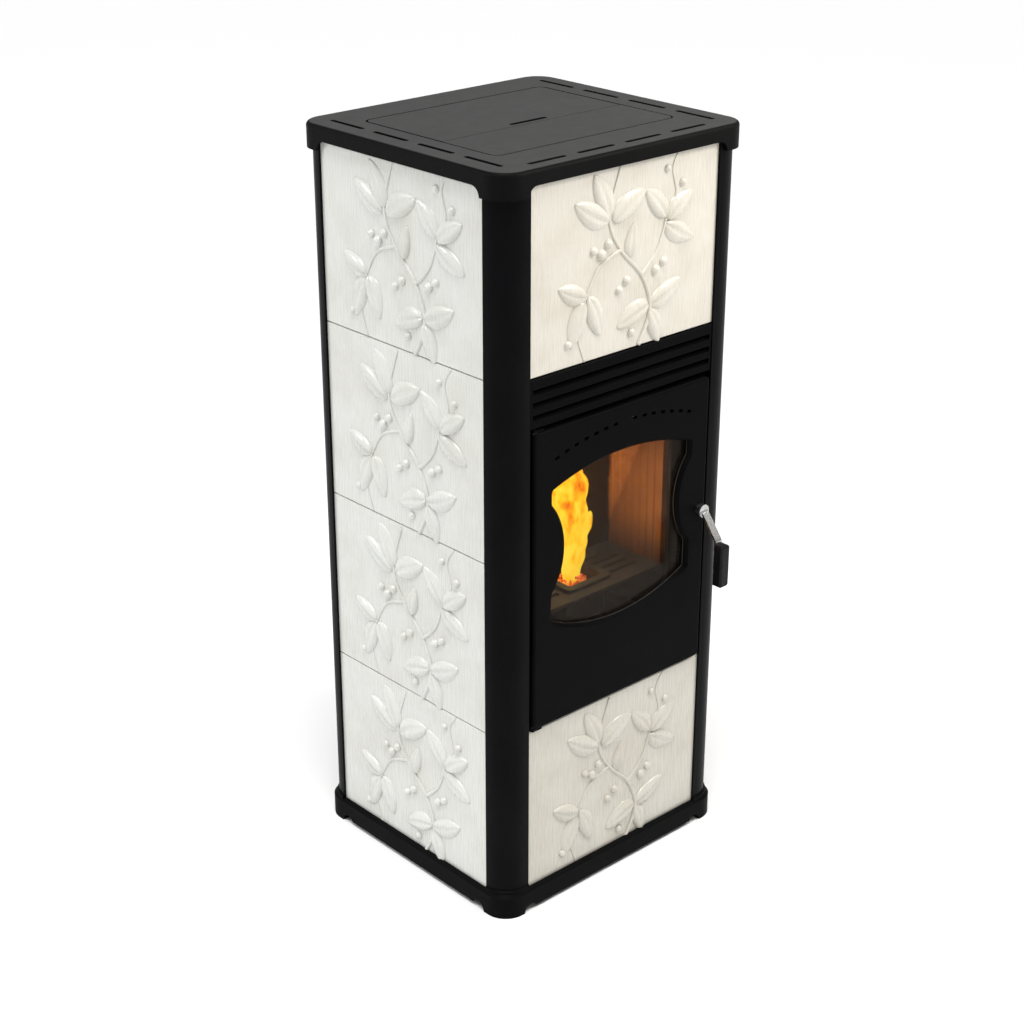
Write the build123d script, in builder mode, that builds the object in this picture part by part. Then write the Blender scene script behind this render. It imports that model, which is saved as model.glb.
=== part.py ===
"""Tiled hydronic pellet stove, made of the pieces it comes apart into on a bench.

Millimetres, +Z up, front towards -Y. The origin is on the floor, under the middle of the casing.
Half sizes are measured from the middle, so a plane named side_face stands at x = +side_face and
x = -side_face. Heights are measured from the floor.
"""
import os
from math import hypot, radians, tan

from build123d import *

os.makedirs("parts", exist_ok=True)

# Fits
SEAT = 0.3                 # gap between pieces that only rest against each other
RUN = 0.05                 # radial clearance of a pin or shaft that turns
SLIDE = 1.0                # side clearance of a drawer, pot or plate that lifts or slides

# Casing outline
CAP_W = 510.0              # width of the cap and of the plinth
CAP_D = 472.0              # depth of the cap and of the plinth
CORNER_R = 40.0            # plan radius of their corners
CAP_OVER_X = 5.0           # overhang of the cap beyond the posts, at the sides
CAP_OVER_Y = 6.0           # the same at front and back
CAP_EDGE = 24.0            # height of the cap's edge
CAP_PLATE = 8.0            # thickness of the cast top plate
CAP_ROUND = 7.0            # rounding of the cap's upper edge
RIM_WALL = 8.0             # wall of the cap's and the plinth's rims

# Plinth
LEDGE_TOP = 36.0           # height of the ledge that posts and tiles stand on
LEDGE_THICK = 8.0
RAIL_BOTTOM = 7.0          # clearance of the rails above the floor
RIM_RISE = 7.0             # rim above the ledge, hides the foot of each tile
RIM_BEVEL = 5.5
LEDGE_OPEN_X = CAP_W / 2 - 59.0  # half width of the opening inside the ledge
LEDGE_OPEN_Y = CAP_D / 2 - 60.0
BLOCK_X = CAP_W / 2 - 60.0  # the corner blocks start this far from the middle, across
BLOCK_Y = CAP_D / 2 - 64.0  # and this far, front to back
SCOTIA_R = 14.0            # hollow beside each corner block
COLLAR_RISE = 13.0         # plinth collar above the ledge, round each post
COLLAR_WALL = 3.5
COLLAR_BEVEL = 2.5
COLLAR_DROP = 16.0         # cap collar below the cap's edge, round each post
COLLAR_X = CAP_W / 2 - 66.0  # the cap collars start this far from the middle
COLLAR_Y = CAP_D / 2 - 66.0

# Tiles
TILE_PITCH = 295.0         # height of one row
TILE_ROWS = 4
TILE_JOINT = 1.2
TILE_THICK = 12.0
TILE_TUCK = 5.0            # edge hidden behind a post's lip
TILE_LAP = 6.0             # top hidden behind the cap's rim
TILE_EASE = 1.5            # eased edge of the glazed face

# Corner posts
POST_R = 43.0
POST_WALL = 4.0
FRONT_LAND = 11.0          # flat strip between the round and the front tile
WEB = 3.0
FLANGE = 2.5
FLANGE_REACH = 11.0        # inner flange behind the tile's edge

# Sheet metal
SHEET = 1.5
PAN_THICK = 2.0

# Louvre above the door
LOUVRE_H = 79.0
LOUVRE_GAPS = 3
LOUVRE_GAP_H = 9.0
LOUVRE_GAP_PITCH = 20.0
LOUVRE_TOP_STRIP = 16.0
LOUVRE_RIM = 6.0
LOUVRE_PROUD = 3.0         # grille's face in front of the tiles' face
LOUVRE_CLIMB = 8.0         # rise of each slot from front to back

# Door
DOOR_W = CAP_W - 130.0
DOOR_SILL = 4.0            # door's lower edge above the lower front tile
DOOR_HEAD = 6.0            # louvre's lower edge above the door's upper edge
DOOR_PROUD = 8.0           # door's face in front of the tiles' face
DOOR_THICK = 18.0          # at the rim
DOOR_PLATE = 8.0           # at the face
DOOR_CORNER = 10.0
DOOR_EDGE_ROUND = 4.0
FRAME_THICK = 4.0
FRAME_HALF = CAP_W / 2 - 45.0  # half width of the frame's plate
FRAME_LAP = 12.0           # plate above and below the door
LATCH_SLOT_HALF = 10.0
HINGE_INSET = 6.0          # hinge axis from the door's left edge
HINGE_PIN_R = 4.0
HINGE_PIN_IN = 20.0        # length of each pin inside the door
HINGE_COLLAR = 2.5         # collar that carries the door
BRACKET_THICK = 3.0
BRACKET_W = 20.0
BRACKET_BACK = 3.0         # bracket's front edge behind the door's face
BRACKET_LEG = 26.0

# Window
WIN_HEAD = 76.0            # crown of the upper arch below the door's upper edge
WIN_ARCH = 27.0            # rise of the upper arch
WIN_HALF = DOOR_W / 2 - 40.0
WIN_PINCH_FROM = 50.0      # the drawn-in stretch of each side, below the crown
WIN_PINCH_TO = 200.0
WIN_PINCH = 27.0           # how far each side is drawn in
WIN_SIDE = 247.0           # ends of the lower arch below the crown
WIN_H = 283.0              # crown to the lowest point
WIN_BEVEL = 5.0
WIN_CORNER = 5.0
VENT_RISE = 49.0           # arched row of air holes above the upper arch
VENT_W = 9.0
VENT_H = 5.0
VENT_STEP_DEG = 2.5
VENT_FIRST = 1             # steps from the middle left plain
VENT_LAST = 7
GLASS_THICK = 4.0
GLASS_LAP = 8.0
TAPE = 1.2                 # flat gasket between glass and casting
GASKET_W = 8.0
GASKET_GROOVE = 3.0
GASKET_IN = 23.0           # gasket's middle line from the door's side edges
GASKET_FOOT = 14.0         # from the door's lower edge
GASKET_HEAD = 13.0         # from the door's upper edge
GASKET_BEND = 14.0
GASKET_LAND = 2.0          # metal left inside the groove
POCKET_BEND = 6.0          # corners of the hollow behind the plate
CLIP_W = 26.0
CLIP_X = 90.0
CLIP_SEAT_H = 12.0
CLIP_THICK = 2.0

# Handle and latch
SPINDLE_R = 5.0
SPINDLE_IN = 12.0          # spindle axis from the door's right edge
SPINDLE_Z = LEDGE_TOP + 2 * TILE_PITCH - 19.0
HUB_R = 11.0
HUB_LEN = 10.0
LEVER_W = 14.0
LEVER_THICK = 4.0
LEVER_BEND = 8.0
LEVER_FALL = 42.0          # drop of its slanted part
LEVER_TANG = 78.0          # upright part that carries the grip
GRIP_W = 21.0
GRIP_THICK = 16.0
GRIP_H = 74.0
GRIP_CORNER = 5.0
GRIP_ROUND = 4.0
TONGUE_LEN = 25.0
TONGUE_W = 12.0
TONGUE_THICK = 5.0
TONGUE_HUB_R = 9.0

# Boiler and fire chamber
FRAME_TO_BOILER = 17.0     # depth of the neck between door frame and boiler
NECK_WALL = 3.0
CHAMBER_HALF = CAP_W / 2 - 102.0  # half width inside the boiler's inner wall
CHAMBER_FLOOR = LEDGE_TOP + TILE_PITCH + 26.0
CHAMBER_TOP = LEDGE_TOP + 3 * TILE_PITCH - 109.0
CHAMBER_BACK = -45.0       # y of the inner back wall's face
BOILER_WALL = 4.0
JACKET_SIDE = 30.0         # water gap at the sides
JACKET_BACK = 30.0
JACKET_FLOOR = 35.0
BOILER_TOP = LEDGE_TOP + TILE_ROWS * TILE_PITCH - 96.0
LINING = 12.0
LINING_TOP = CHAMBER_TOP - 32.0
BAFFLE_THICK = 10.0
TUBE_R = 21.0
TUBE_WALL = 3.0
TUBE_COLS = 5
TUBE_ROWS_Y = 2
TUBE_PITCH_X = (CAP_W - 230.0) / TUBE_COLS
TUBE_PITCH_Y = 62.0
COVER_H = 34.0
COVER_HALF = CAP_W / 2 - 95.0
COVER_FRONT = 8.0          # cover's front behind the boiler's front
COVER_R = 12.0
LINING_IN = 6.0            # lining's front edge behind the boiler's front
FLUTES = 7
FLUTE_PITCH = 16.0
FLUTE_R = 3.0
BAFFLE_IN = 42.0           # smoke passes in front of the baffle
TUNNEL_HALF = 36.0         # chute's way through the jacket
TUNNEL_LOW = CHAMBER_FLOOR + 168.0
TUNNEL_HIGH = CHAMBER_FLOOR + 283.0
DOWN_LEFT = 50.0           # smoke's way down inside the rear jacket
DOWN_RIGHT = CAP_W / 2 - 105.0
EXIT_LOW = CHAMBER_FLOOR - 35.0
EXIT_HIGH = CHAMBER_FLOOR + 31.0
FAN_X = CAP_W / 2 - 157.0  # left face of the fan housing, and right face of the smoke duct

# Burn pot, hearth plate and ash drawer
POT_W = 82.0
POT_D = 76.0
POT_H = 66.0
POT_WALL = 5.0
POT_INNER_R = 4.0
POT_RIM = 8.0
POT_RIM_THICK = 6.0
POT_Y = 116.0 - CAP_D / 2  # middle of the pot, front to back
HEARTH_TOP = CHAMBER_FLOOR + 145.0
HEARTH_THICK = 6.0
HEARTH_IN = 5.0
ASH_SLOT_SPREAD = 176.0
ASH_SLOT_PITCH = 20.0
ASH_SLOTS = 4
ASH_SLOT_L = 60.0
ASH_SLOT_W = 8.0
GRATE_PITCH = 12.0
GRATE_HOLES = 5
GRATE_HOLE_R = 2.5
IGNITER_Z = HEARTH_TOP - 47.0
IGNITER_R = 7.0
IGNITER_ROD_R = 5.0
IGNITER_BODY = 20.0
IGNITER_FLANGE = 3.0
DRAWER_H = 68.0
DRAWER_HALF = CHAMBER_HALF - 29.0
DRAWER_D = CAP_D / 2 - 113.0
DRAWER_IN = 5.0            # drawer's front behind the boiler's front
PULL_HALF = 34.0
PULL_OUT = 14.0
PULL_THICK = 2.5
PULL_H = 12.0

# Pellet feed
AUGER_R = 25.0
AUGER_SHAFT_R = 8.0
AUGER_PITCH = 45.0
AUGER_FLIGHT = 3.0
AUGER_ROOT = 1.0           # the flight's root is sunk this far in the shaft
AUGER_SHAFT_IN = 20.0      # shaft inside the gearmotor
AUGER_START = 8.0
AUGER_END = 16.0
TUBE_BORE_R = 27.0
TUBE_SKIN = 3.0
COLLAR_LOW = HEARTH_TOP - 18.0
GEARBOX_W = 56.0
GEARBOX_R = 8.0
GEARBOX_L = 30.0
MOTOR_R = 25.0
MOTOR_L = 38.0
AUGER_LOW_Y = 150.0
AUGER_LOW_Z = HEARTH_TOP - 47.0
AUGER_HIGH_Y = 50.0
AUGER_HIGH_Z = HEARTH_TOP + 123.0
HOPPER_HALF = CAP_W / 2 - 65.0
HOPPER_FRONT = 6.0
HOPPER_BACK = CAP_D / 2 - 31.0
HOPPER_SHOULDER = BOILER_TOP
HOPPER_WAIST = HEARTH_TOP + 398.0
HOPPER_FOOT = HEARTH_TOP + 98.0
HOPPER_OUT_HALF = 26.0
HOPPER_OUT_FRONT = 104.0
HOPPER_OUT_BACK = 164.0
HOPPER_NECK = BOILER_TOP + 40.0
HOPPER_MOUTH_HALF = CAP_W / 2 - 89.0
CHUTE_BACK = 70.0
CHUTE_FRONT = 5.0
CHUTE_TOP = HEARTH_TOP + 166.0
CHUTE_TIP = -66.0
CHUTE_TIP_HIGH = HEARTH_TOP + 73.0
CHUTE_TIP_LOW = HEARTH_TOP + 28.0
CHUTE_KNEE = 40.0
CHUTE_BOTTOM = HEARTH_TOP + 100.0

# Hopper lid
FIELD_HALF_X = CAP_W / 2 - 68.0  # outline grooved into the cap
FIELD_FRONT = 89.0 - CAP_D / 2
FIELD_BACK = CAP_D / 2 - 76.0
FIELD_R = 16.0
FIELD_GROOVE = 3.0
FIELD_DEPTH = 1.5
LID_FRONT = -25.0
LID_SEAM = 1.5
LID_THICK = 8.0
LID_PIVOT_IN = 9.0         # pivot in front of the lid's back edge
LID_PIN_R = 3.0
LID_PIN_LEN = 16.0
LID_PIN_IN = 10.0
LID_LUG_L = 12.0
LID_LUG_WALL = 5.0
LID_LUG_FOOT = 2.0
GRIP_SLOT_L = 76.0
GRIP_SLOT_W = 10.0
GRIP_SLOT_Y = -12.0
MOUTH_FRONT = -2.0
MOUTH_BACK = CAP_D / 2 - 94.0
SLOT_L = 80.0
SLOT_W = 9.0
SLOT_PITCH_SIDE = 103.0
SLOT_PITCH_FRONT = 97.0
SLOT_L_FRONT = 74.0
SLOT_ROW_X = CAP_W / 2 - 37.0
SLOT_ROW_Y = CAP_D / 2 - 28.0
SLOTS_PER_SIDE = 4

# Smoke side
FAN_W = 50.0
FAN_Y = CAP_D / 2 - 118.0
FAN_Z = 185.0
FAN_R = 72.0
FAN_WALL = 2.0
WHEEL_R = 58.0
WHEEL_W = 30.0
WHEEL_BLADES = 10
INLET_R = 30.0
DUCT_MARGIN = 8.0
DUCT_BEND_Y = 40.0
OUTLET_H = 74.0
FAN_SHAFT_R = 4.0
FAN_SHAFT_IN = 25.0
FAN_MOTOR_R = 36.0
FAN_FLANGE = 6.0
FAN_MOTOR_L = 60.0
FLUE_FROM = CAP_D / 2 - 36.0
FLUE_LIP = 5.0
FLUE_R = 40.0
FLUE_WALL = 2.0
REAR_REACH = CAP_D / 2 + 59.0  # flue spigot's end, and as far as the handle reaches in front
AIR_R = 25.0
AIR_X = 173.0 - CAP_W / 2
AIR_Z = HEARTH_TOP - 50.0
AIR_BEAD = 1.5             # height of the pipe's stop bead, outside the rear panel
AIR_BEAD_W = 2.5
AIR_REACH = CAP_D / 2 + 26.0

# Water side
PIPE_R = 8.0
FITTING_R = 13.2
FITTING_REACH = CAP_D / 2 + 19.0
FITTING_Z = 92.0
FITTING_PITCH = 40.0
FITTINGS = 4
FITTING_FROM = CAP_D / 2 - 36.0
NUT_H = 6.0
NUT_LIP = 4.0
RETURN_X = 125.0 - CAP_W / 2
DRAIN_X = RETURN_X + FITTING_PITCH
RELIEF_X = RETURN_X + 2 * FITTING_PITCH
PIPE_BORE = 6.5
PIPE_BEND = 12.0
STUB_Z = CHAMBER_FLOOR - 22.0  # water stubs on the boiler's back and side
RISER_Y = 30.0
FLOW_X = 79.0 - CAP_W / 2
FLOW_Y = -60.0
FLOW_RISE = 25.0
PUMP_Y = 110.0
PUMP_Z = 180.0
PUMP_R = 44.0
PUMP_L = 90.0
PUMP_H = 124.0
PUMP_NECK_R = 14.0
PUMP_NUT = 10.0
PUMP_NUT_LIP = 6.0
PUMP_BOX_R = 6.0
VALVE_R = 14.0
VALVE_STEM_R = 4.0
VALVE_ARM_WALL = 2.0
KNOB_H = 18.0
KNOB_NOTCHES = 8
KNOB_NOTCH_R = 2.0
VESSEL_X = -20.0
VESSEL_Y = 131.0 - CAP_D / 2
VESSEL_Z = 165.0
VESSEL_DOME = 30.0
VESSEL_NECK = 12.0
VESSEL_NECK_WALL = 4.0
VESSEL_SUNK = 1.0          # neck inside the end
SADDLE_HALF = 60.0
STAND_LEG = 30.0
STAND_SHEET = 3.0
VESSEL_R = 96.0
VESSEL_L = CAP_W - 250.0

# Electrics and rear panel
BOARD_THICK = 24.0
BOARD_FRONT = 66.0 - CAP_D / 2
BOARD_W = 150.0
BOARD_LOW = 100.0
BOARD_H = 200.0
BOARD_PLUGS = 5
BOARD_ROUND = 6.0
PLUG_IN = 30.0             # plugs from the case's rear edge
PLUG_W = 12.0
PLUG_OUT = 8.0
PLUG_H = 24.0
INLET_X = CAP_W / 2 - 90.0
INLET_Z = 330.0
INLET_W = 30.0
INLET_H = 56.0
INLET_PLATE = 2.0
INLET_DEPTH = 24.0
INLET_LIP = 4.0
SOCKET_W = 24.0
SOCKET_H = 17.0
SOCKET_DEPTH = 15.0
SOCKET_CORNER = 3.0
SOCKET_PIN_L = 9.0
SOCKET_PIN_W = 2.0
SOCKET_PIN_H = 5.0
SOCKET_PINS = ((-7.0, -2.0), (7.0, -2.0), (0.0, 3.0))
ROCKER_W = 16.0
ROCKER_H = 20.0
ROCKER_IN = 4.0            # rocker's pivot behind the frame's face
ROCKER_DIP = 1.5
ROCKER_DEG = 14.0
SOCKET_RISE = 2.0
RESET_X = CAP_W / 2 - 140.0
RESET_R = 6.0
RESET_OUT = 4.0
RESET_WALL = 3.0
RESET_NUT_LIP = 6.0
RESET_ROUND = 1.0
VENT_BANKS = (540.0, 1040.0)
PANEL_SLOT_L = 90.0
PANEL_SLOT_W = 6.0
PANEL_SLOTS = 6

# Planes and heights that follow from the sizes above
tiles_top = LEDGE_TOP + TILE_ROWS * TILE_PITCH
cap_bottom = tiles_top - TILE_LAP
cap_top = cap_bottom + CAP_EDGE
plate_under = cap_top - CAP_PLATE
rim_top = LEDGE_TOP + RIM_RISE
post_x = CAP_W / 2 - CAP_OVER_X
post_y = CAP_D / 2 - CAP_OVER_Y
side_face = post_x - POST_WALL
front_face = post_y - POST_WALL
side_back = side_face - SEAT - TILE_THICK
front_back = front_face - TILE_THICK
side_tile_half = post_y - POST_R + TILE_TUCK
front_land_in = post_x - POST_R - FRONT_LAND
front_tile_half = front_land_in + TILE_TUCK
flange_x = side_back - SEAT - FLANGE
flange_y = front_back - SEAT - FLANGE
row_z = [LEDGE_TOP + n * TILE_PITCH for n in range(TILE_ROWS + 1)]
pan_top = LEDGE_TOP + PAN_THICK
panel_in = flange_x - SHEET
CORNERS = [("front_left", -1, -1), ("front_right", 1, -1), ("rear_left", -1, 1), ("rear_right", 1, 1)]


def cut_cross(x_in, y_in):
    """Leave only the four corners of the open sketch, outside x_in and y_in."""
    Rectangle(2 * x_in, 2 * CAP_D, mode=Mode.SUBTRACT)
    Rectangle(2 * CAP_W, 2 * y_in, mode=Mode.SUBTRACT)


def span(x0, x1, y0, y1, mode=Mode.ADD):
    """Draw a rectangle between two pairs of sketch coordinates."""
    with Locations(((x0 + x1) / 2, (y0 + y1) / 2)):
        Rectangle(abs(x1 - x0), abs(y1 - y0), mode=mode)


def block(x0, x1, y0, y1, z0, z1, mode=Mode.ADD):
    """Add or cut a box between two corners in the open part."""
    with Locations(((x0 + x1) / 2, (y0 + y1) / 2, (z0 + z1) / 2)):
        Box(abs(x1 - x0), abs(y1 - y0), abs(z1 - z0), mode=mode)


# Plinth: a cast frame on four corner blocks
with BuildPart() as base_plinth:
    with BuildSketch(Plane.XY.offset(RAIL_BOTTOM)):
        RectangleRounded(CAP_W, CAP_D, CORNER_R)
    extrude(amount=rim_top - RAIL_BOTTOM)
    chamfer(base_plinth.edges().group_by(Axis.Z)[-1], RIM_BEVEL)
    with BuildSketch(Plane.XY.offset(LEDGE_TOP)):
        RectangleRounded(CAP_W - 2 * RIM_WALL, CAP_D - 2 * RIM_WALL, CORNER_R - RIM_WALL)
    extrude(amount=RIM_RISE, mode=Mode.SUBTRACT)
    with BuildSketch(Plane.XY.offset(RAIL_BOTTOM)):
        RectangleRounded(CAP_W - 2 * RIM_WALL, CAP_D - 2 * RIM_WALL, CORNER_R - RIM_WALL)
    extrude(amount=LEDGE_TOP - LEDGE_THICK - RAIL_BOTTOM, mode=Mode.SUBTRACT)
    with BuildSketch(Plane.XY.offset(LEDGE_TOP - LEDGE_THICK)):
        Rectangle(2 * LEDGE_OPEN_X, 2 * LEDGE_OPEN_Y)
    extrude(amount=LEDGE_THICK, mode=Mode.SUBTRACT)
    with BuildSketch(Plane.XY):
        RectangleRounded(CAP_W, CAP_D, CORNER_R)
        cut_cross(BLOCK_X, BLOCK_Y)
    extrude(amount=LEDGE_TOP - LEDGE_THICK)
    with BuildSketch(Plane.XY.offset(LEDGE_TOP)):
        RectangleRounded(
            2 * (post_x + COLLAR_WALL), 2 * (post_y + COLLAR_WALL), POST_R + COLLAR_WALL)
        cut_cross(front_land_in, post_y - POST_R)
    extrude(amount=COLLAR_RISE)
    chamfer(base_plinth.faces().sort_by(Axis.Z)[-4:].edges().filter_by(GeomType.CIRCLE), COLLAR_BEVEL)
    with BuildSketch(Plane.XY.offset(LEDGE_TOP)):
        RectangleRounded(2 * (post_x + SEAT), 2 * (post_y + SEAT), POST_R + SEAT)
        cut_cross(front_land_in - SEAT, post_y - POST_R - SEAT)
    extrude(amount=COLLAR_RISE, mode=Mode.SUBTRACT)
    with Locations((0, BLOCK_Y, 0), (0, -BLOCK_Y, 0)):
        Cylinder(SCOTIA_R, 2 * CAP_W, rotation=(0, 90, 0), mode=Mode.SUBTRACT)
    with Locations((BLOCK_X, 0, 0), (-BLOCK_X, 0, 0)):
        Cylinder(SCOTIA_R, 2 * CAP_D, rotation=(90, 0, 0), mode=Mode.SUBTRACT)
base_plinth.part.label = "base_plinth"
export_step(base_plinth.part, "parts/base_plinth.step")

# Floor pan: sheet steel on the plinth's ledge, notched round the posts
with BuildPart() as floor_pan:
    with BuildSketch(Plane.XY.offset(LEDGE_TOP)):
        Rectangle(2 * (front_tile_half - FLANGE_REACH - SLIDE), 2 * (flange_y - SEAT))
        Rectangle(2 * (flange_x - SEAT), 2 * (side_tile_half - FLANGE_REACH - SLIDE))
    extrude(amount=PAN_THICK)
floor_pan.part.label = "floor_pan"
export_step(floor_pan.part, "parts/floor_pan.step")


def post_section(sx, sy):
    """Draw a corner post's section in the open sketch: a round, two grooves and two flanges."""
    round_x = post_x - POST_R
    round_y = post_y - POST_R
    side_web = side_tile_half + SEAT
    front_web = front_tile_half + SEAT
    with Locations((sx * round_x, sy * round_y)):
        Circle(POST_R)
        Circle(POST_R - POST_WALL, mode=Mode.SUBTRACT)
    span(sx * (round_x - POST_R), sx * round_x, sy * (round_y - POST_R), sy * (post_y + WEB), Mode.SUBTRACT)
    span(sx * (round_x - POST_R), sx * (post_x + WEB), sy * (round_y - POST_R), sy * round_y, Mode.SUBTRACT)
    span(sx * front_land_in, sx * round_x, sy * front_face, sy * post_y)
    span(sx * flange_x, sx * side_face, sy * side_web, sy * (side_web + WEB))
    span(sx * flange_x, sx * (flange_x + FLANGE), sy * (side_web - FLANGE_REACH), sy * side_web)
    span(sx * front_web, sx * (front_web + WEB), sy * flange_y, sy * post_y)
    span(sx * (front_web - FLANGE_REACH), sx * front_web, sy * flange_y, sy * (flange_y + FLANGE))


# Corner posts: extruded quarter columns, grooved for the tiles
for corner, side_x, side_y in CORNERS:
    with BuildPart() as corner_post:
        with BuildSketch(Plane.XY.offset(LEDGE_TOP)):
            post_section(side_x, side_y)
        extrude(amount=cap_bottom - LEDGE_TOP)
    corner_post.part.label = f"post_{corner}"
    export_step(corner_post.part, f"parts/post_{corner}.step")


# Side tiles: four to a side, slid down between the posts
for side, side_x in (("left", -1), ("right", 1)):
    with BuildPart() as side_tiles:
        for n in range(TILE_ROWS):
            with BuildSketch(Plane.XY.offset(row_z[n])):
                span(side_x * side_back, side_x * (side_back + TILE_THICK), -side_tile_half, side_tile_half)
            extrude(amount=TILE_PITCH - TILE_JOINT)
        glazed = side_tiles.faces().filter_by(Axis.X).group_by(Axis.X)[-1 if side_x > 0 else 0]
        chamfer(glazed.edges(), TILE_EASE)
    side_tiles.part.label = f"tiles_{side}"
    export_step(side_tiles.part, f"parts/tiles_{side}.step")

# Front tiles: one below the door, one above the louvre
for place, n in (("bottom", 0), ("top", TILE_ROWS - 1)):
    with BuildPart() as front_tile:
        with BuildSketch(Plane.XY.offset(row_z[n])):
            span(-front_tile_half, front_tile_half, -front_face, -front_back)
        extrude(amount=TILE_PITCH - TILE_JOINT)
        chamfer(front_tile.faces().sort_by(Axis.Y)[0].edges(), TILE_EASE)
    front_tile.part.label = f"tile_front_{place}"
    export_step(front_tile.part, f"parts/tile_front_{place}.step")

# Side panels: sheet steel behind the tiles
for side, side_x in (("left", -1), ("right", 1)):
    with BuildPart() as side_panel:
        block(side_x * panel_in, side_x * flange_x, -side_tile_half, side_tile_half, pan_top, cap_bottom)
    side_panel.part.label = f"side_panel_{side}"
    export_step(side_panel.part, f"parts/side_panel_{side}.step")

# Hopper lid's outline, and the field grooved into the cap round it
lid_half = FIELD_HALF_X - FIELD_GROOVE - SLIDE
lid_back = FIELD_BACK - FIELD_GROOVE - SLIDE / 2
lid_pivot_y = lid_back - LID_PIVOT_IN
lid_pivot_z = cap_top - 2 * LID_PIN_R
lug_half = LID_PIN_R + LID_LUG_WALL
lug_drop = 2 * LID_PIN_R + LID_LUG_FOOT

# Cap: cast top plate with a deep rim, air slots and a collar over each post
with BuildPart() as top_cap:
    with BuildSketch(Plane.XY.offset(cap_bottom)):
        RectangleRounded(CAP_W, CAP_D, CORNER_R)
    extrude(amount=CAP_EDGE)
    fillet(top_cap.edges().group_by(Axis.Z)[-1], CAP_ROUND)
    with BuildSketch(Plane.XY.offset(cap_bottom)):
        RectangleRounded(CAP_W - 2 * RIM_WALL, CAP_D - 2 * RIM_WALL, CORNER_R - RIM_WALL)
    extrude(amount=CAP_EDGE - CAP_PLATE, mode=Mode.SUBTRACT)
    with BuildSketch(Plane.XY.offset(cap_bottom)):
        RectangleRounded(CAP_W - RIM_WALL, CAP_D - RIM_WALL, CORNER_R - RIM_WALL / 2)
        cut_cross(front_tile_half + SEAT, side_tile_half + SEAT)
    extrude(amount=CAP_EDGE - CAP_PLATE)
    with BuildSketch(Plane.XY.offset(cap_bottom - COLLAR_DROP)):
        RectangleRounded(CAP_W, CAP_D, CORNER_R)
        RectangleRounded(2 * (post_x + SEAT), 2 * (post_y + SEAT), POST_R + SEAT, mode=Mode.SUBTRACT)
        cut_cross(COLLAR_X, COLLAR_Y)
    extrude(amount=COLLAR_DROP)
    with Locations((0, COLLAR_Y, cap_bottom - COLLAR_DROP), (0, -COLLAR_Y, cap_bottom - COLLAR_DROP)):
        Cylinder(COLLAR_DROP, 2 * CAP_W, rotation=(0, 90, 0), mode=Mode.SUBTRACT)
    with Locations((COLLAR_X, 0, cap_bottom - COLLAR_DROP), (-COLLAR_X, 0, cap_bottom - COLLAR_DROP)):
        Cylinder(COLLAR_DROP, 2 * CAP_D, rotation=(90, 0, 0), mode=Mode.SUBTRACT)
    with BuildSketch(Plane.XY.offset(cap_top)):
        for side_x in (-1, 1):
            with Locations((side_x * SLOT_ROW_X, 0)):
                with GridLocations(1, SLOT_PITCH_SIDE, 1, SLOTS_PER_SIDE):
                    SlotOverall(SLOT_L, SLOT_W, rotation=90)
        with Locations((0, -SLOT_ROW_Y)):
            with GridLocations(SLOT_PITCH_FRONT, 1, SLOTS_PER_SIDE, 1):
                SlotOverall(SLOT_L_FRONT, SLOT_W)
    extrude(amount=-CAP_PLATE, mode=Mode.SUBTRACT)
    field_middle = (FIELD_FRONT + FIELD_BACK) / 2
    field_depth = FIELD_BACK - FIELD_FRONT
    with BuildSketch(Plane.XY.offset(cap_top)):
        with Locations((0, field_middle)):
            RectangleRounded(2 * FIELD_HALF_X, field_depth, FIELD_R)
            RectangleRounded(
                2 * (FIELD_HALF_X - FIELD_GROOVE), field_depth - 2 * FIELD_GROOVE,
                FIELD_R - FIELD_GROOVE, mode=Mode.SUBTRACT)
    extrude(amount=-FIELD_DEPTH, mode=Mode.SUBTRACT)
    with BuildSketch(Plane.XY.offset(cap_top)):
        span(-FIELD_HALF_X, FIELD_HALF_X, LID_FRONT - LID_SEAM, FIELD_BACK)
        fillet(vertices().group_by(Axis.Y)[-1], FIELD_R)
    extrude(amount=-CAP_PLATE, mode=Mode.SUBTRACT)
    for side_x in (-1, 1):
        block(
            side_x * FIELD_HALF_X, side_x * (FIELD_HALF_X + LID_PIN_LEN),
            lid_pivot_y - lug_half, lid_pivot_y + lug_half, plate_under - lug_drop, plate_under)
    with Locations((0, lid_pivot_y, lid_pivot_z)):
        Cylinder(
            LID_PIN_R + RUN, 2 * (FIELD_HALF_X + LID_PIN_LEN), rotation=(0, 90, 0), mode=Mode.SUBTRACT)
top_cap.part.label = "top_cap"
export_step(top_cap.part, "parts/top_cap.step")

# Hopper lid: a flush cast plate that hinges up at its back edge
with BuildPart() as hopper_lid:
    with BuildSketch(Plane.XY.offset(cap_top)):
        span(-lid_half, lid_half, LID_FRONT, lid_back)
        fillet(vertices().group_by(Axis.Y)[-1], FIELD_R - FIELD_GROOVE - SLIDE)
        with Locations((0, GRIP_SLOT_Y)):
            SlotOverall(GRIP_SLOT_L, GRIP_SLOT_W, mode=Mode.SUBTRACT)
    extrude(amount=-LID_THICK)
    for side_x in (-1, 1):
        block(
            side_x * (lid_half - LID_LUG_L), side_x * lid_half,
            lid_pivot_y - lug_half, lid_pivot_y + lug_half,
            cap_top - LID_THICK - lug_drop, cap_top - LID_THICK)
        with Locations((side_x * lid_half, lid_pivot_y, lid_pivot_z)):
            Cylinder(LID_PIN_R + RUN, 2 * LID_PIN_IN, rotation=(0, 90, 0), mode=Mode.SUBTRACT)
hopper_lid.part.label = "hopper_lid"
export_step(hopper_lid.part, "parts/hopper_lid.step")

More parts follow.
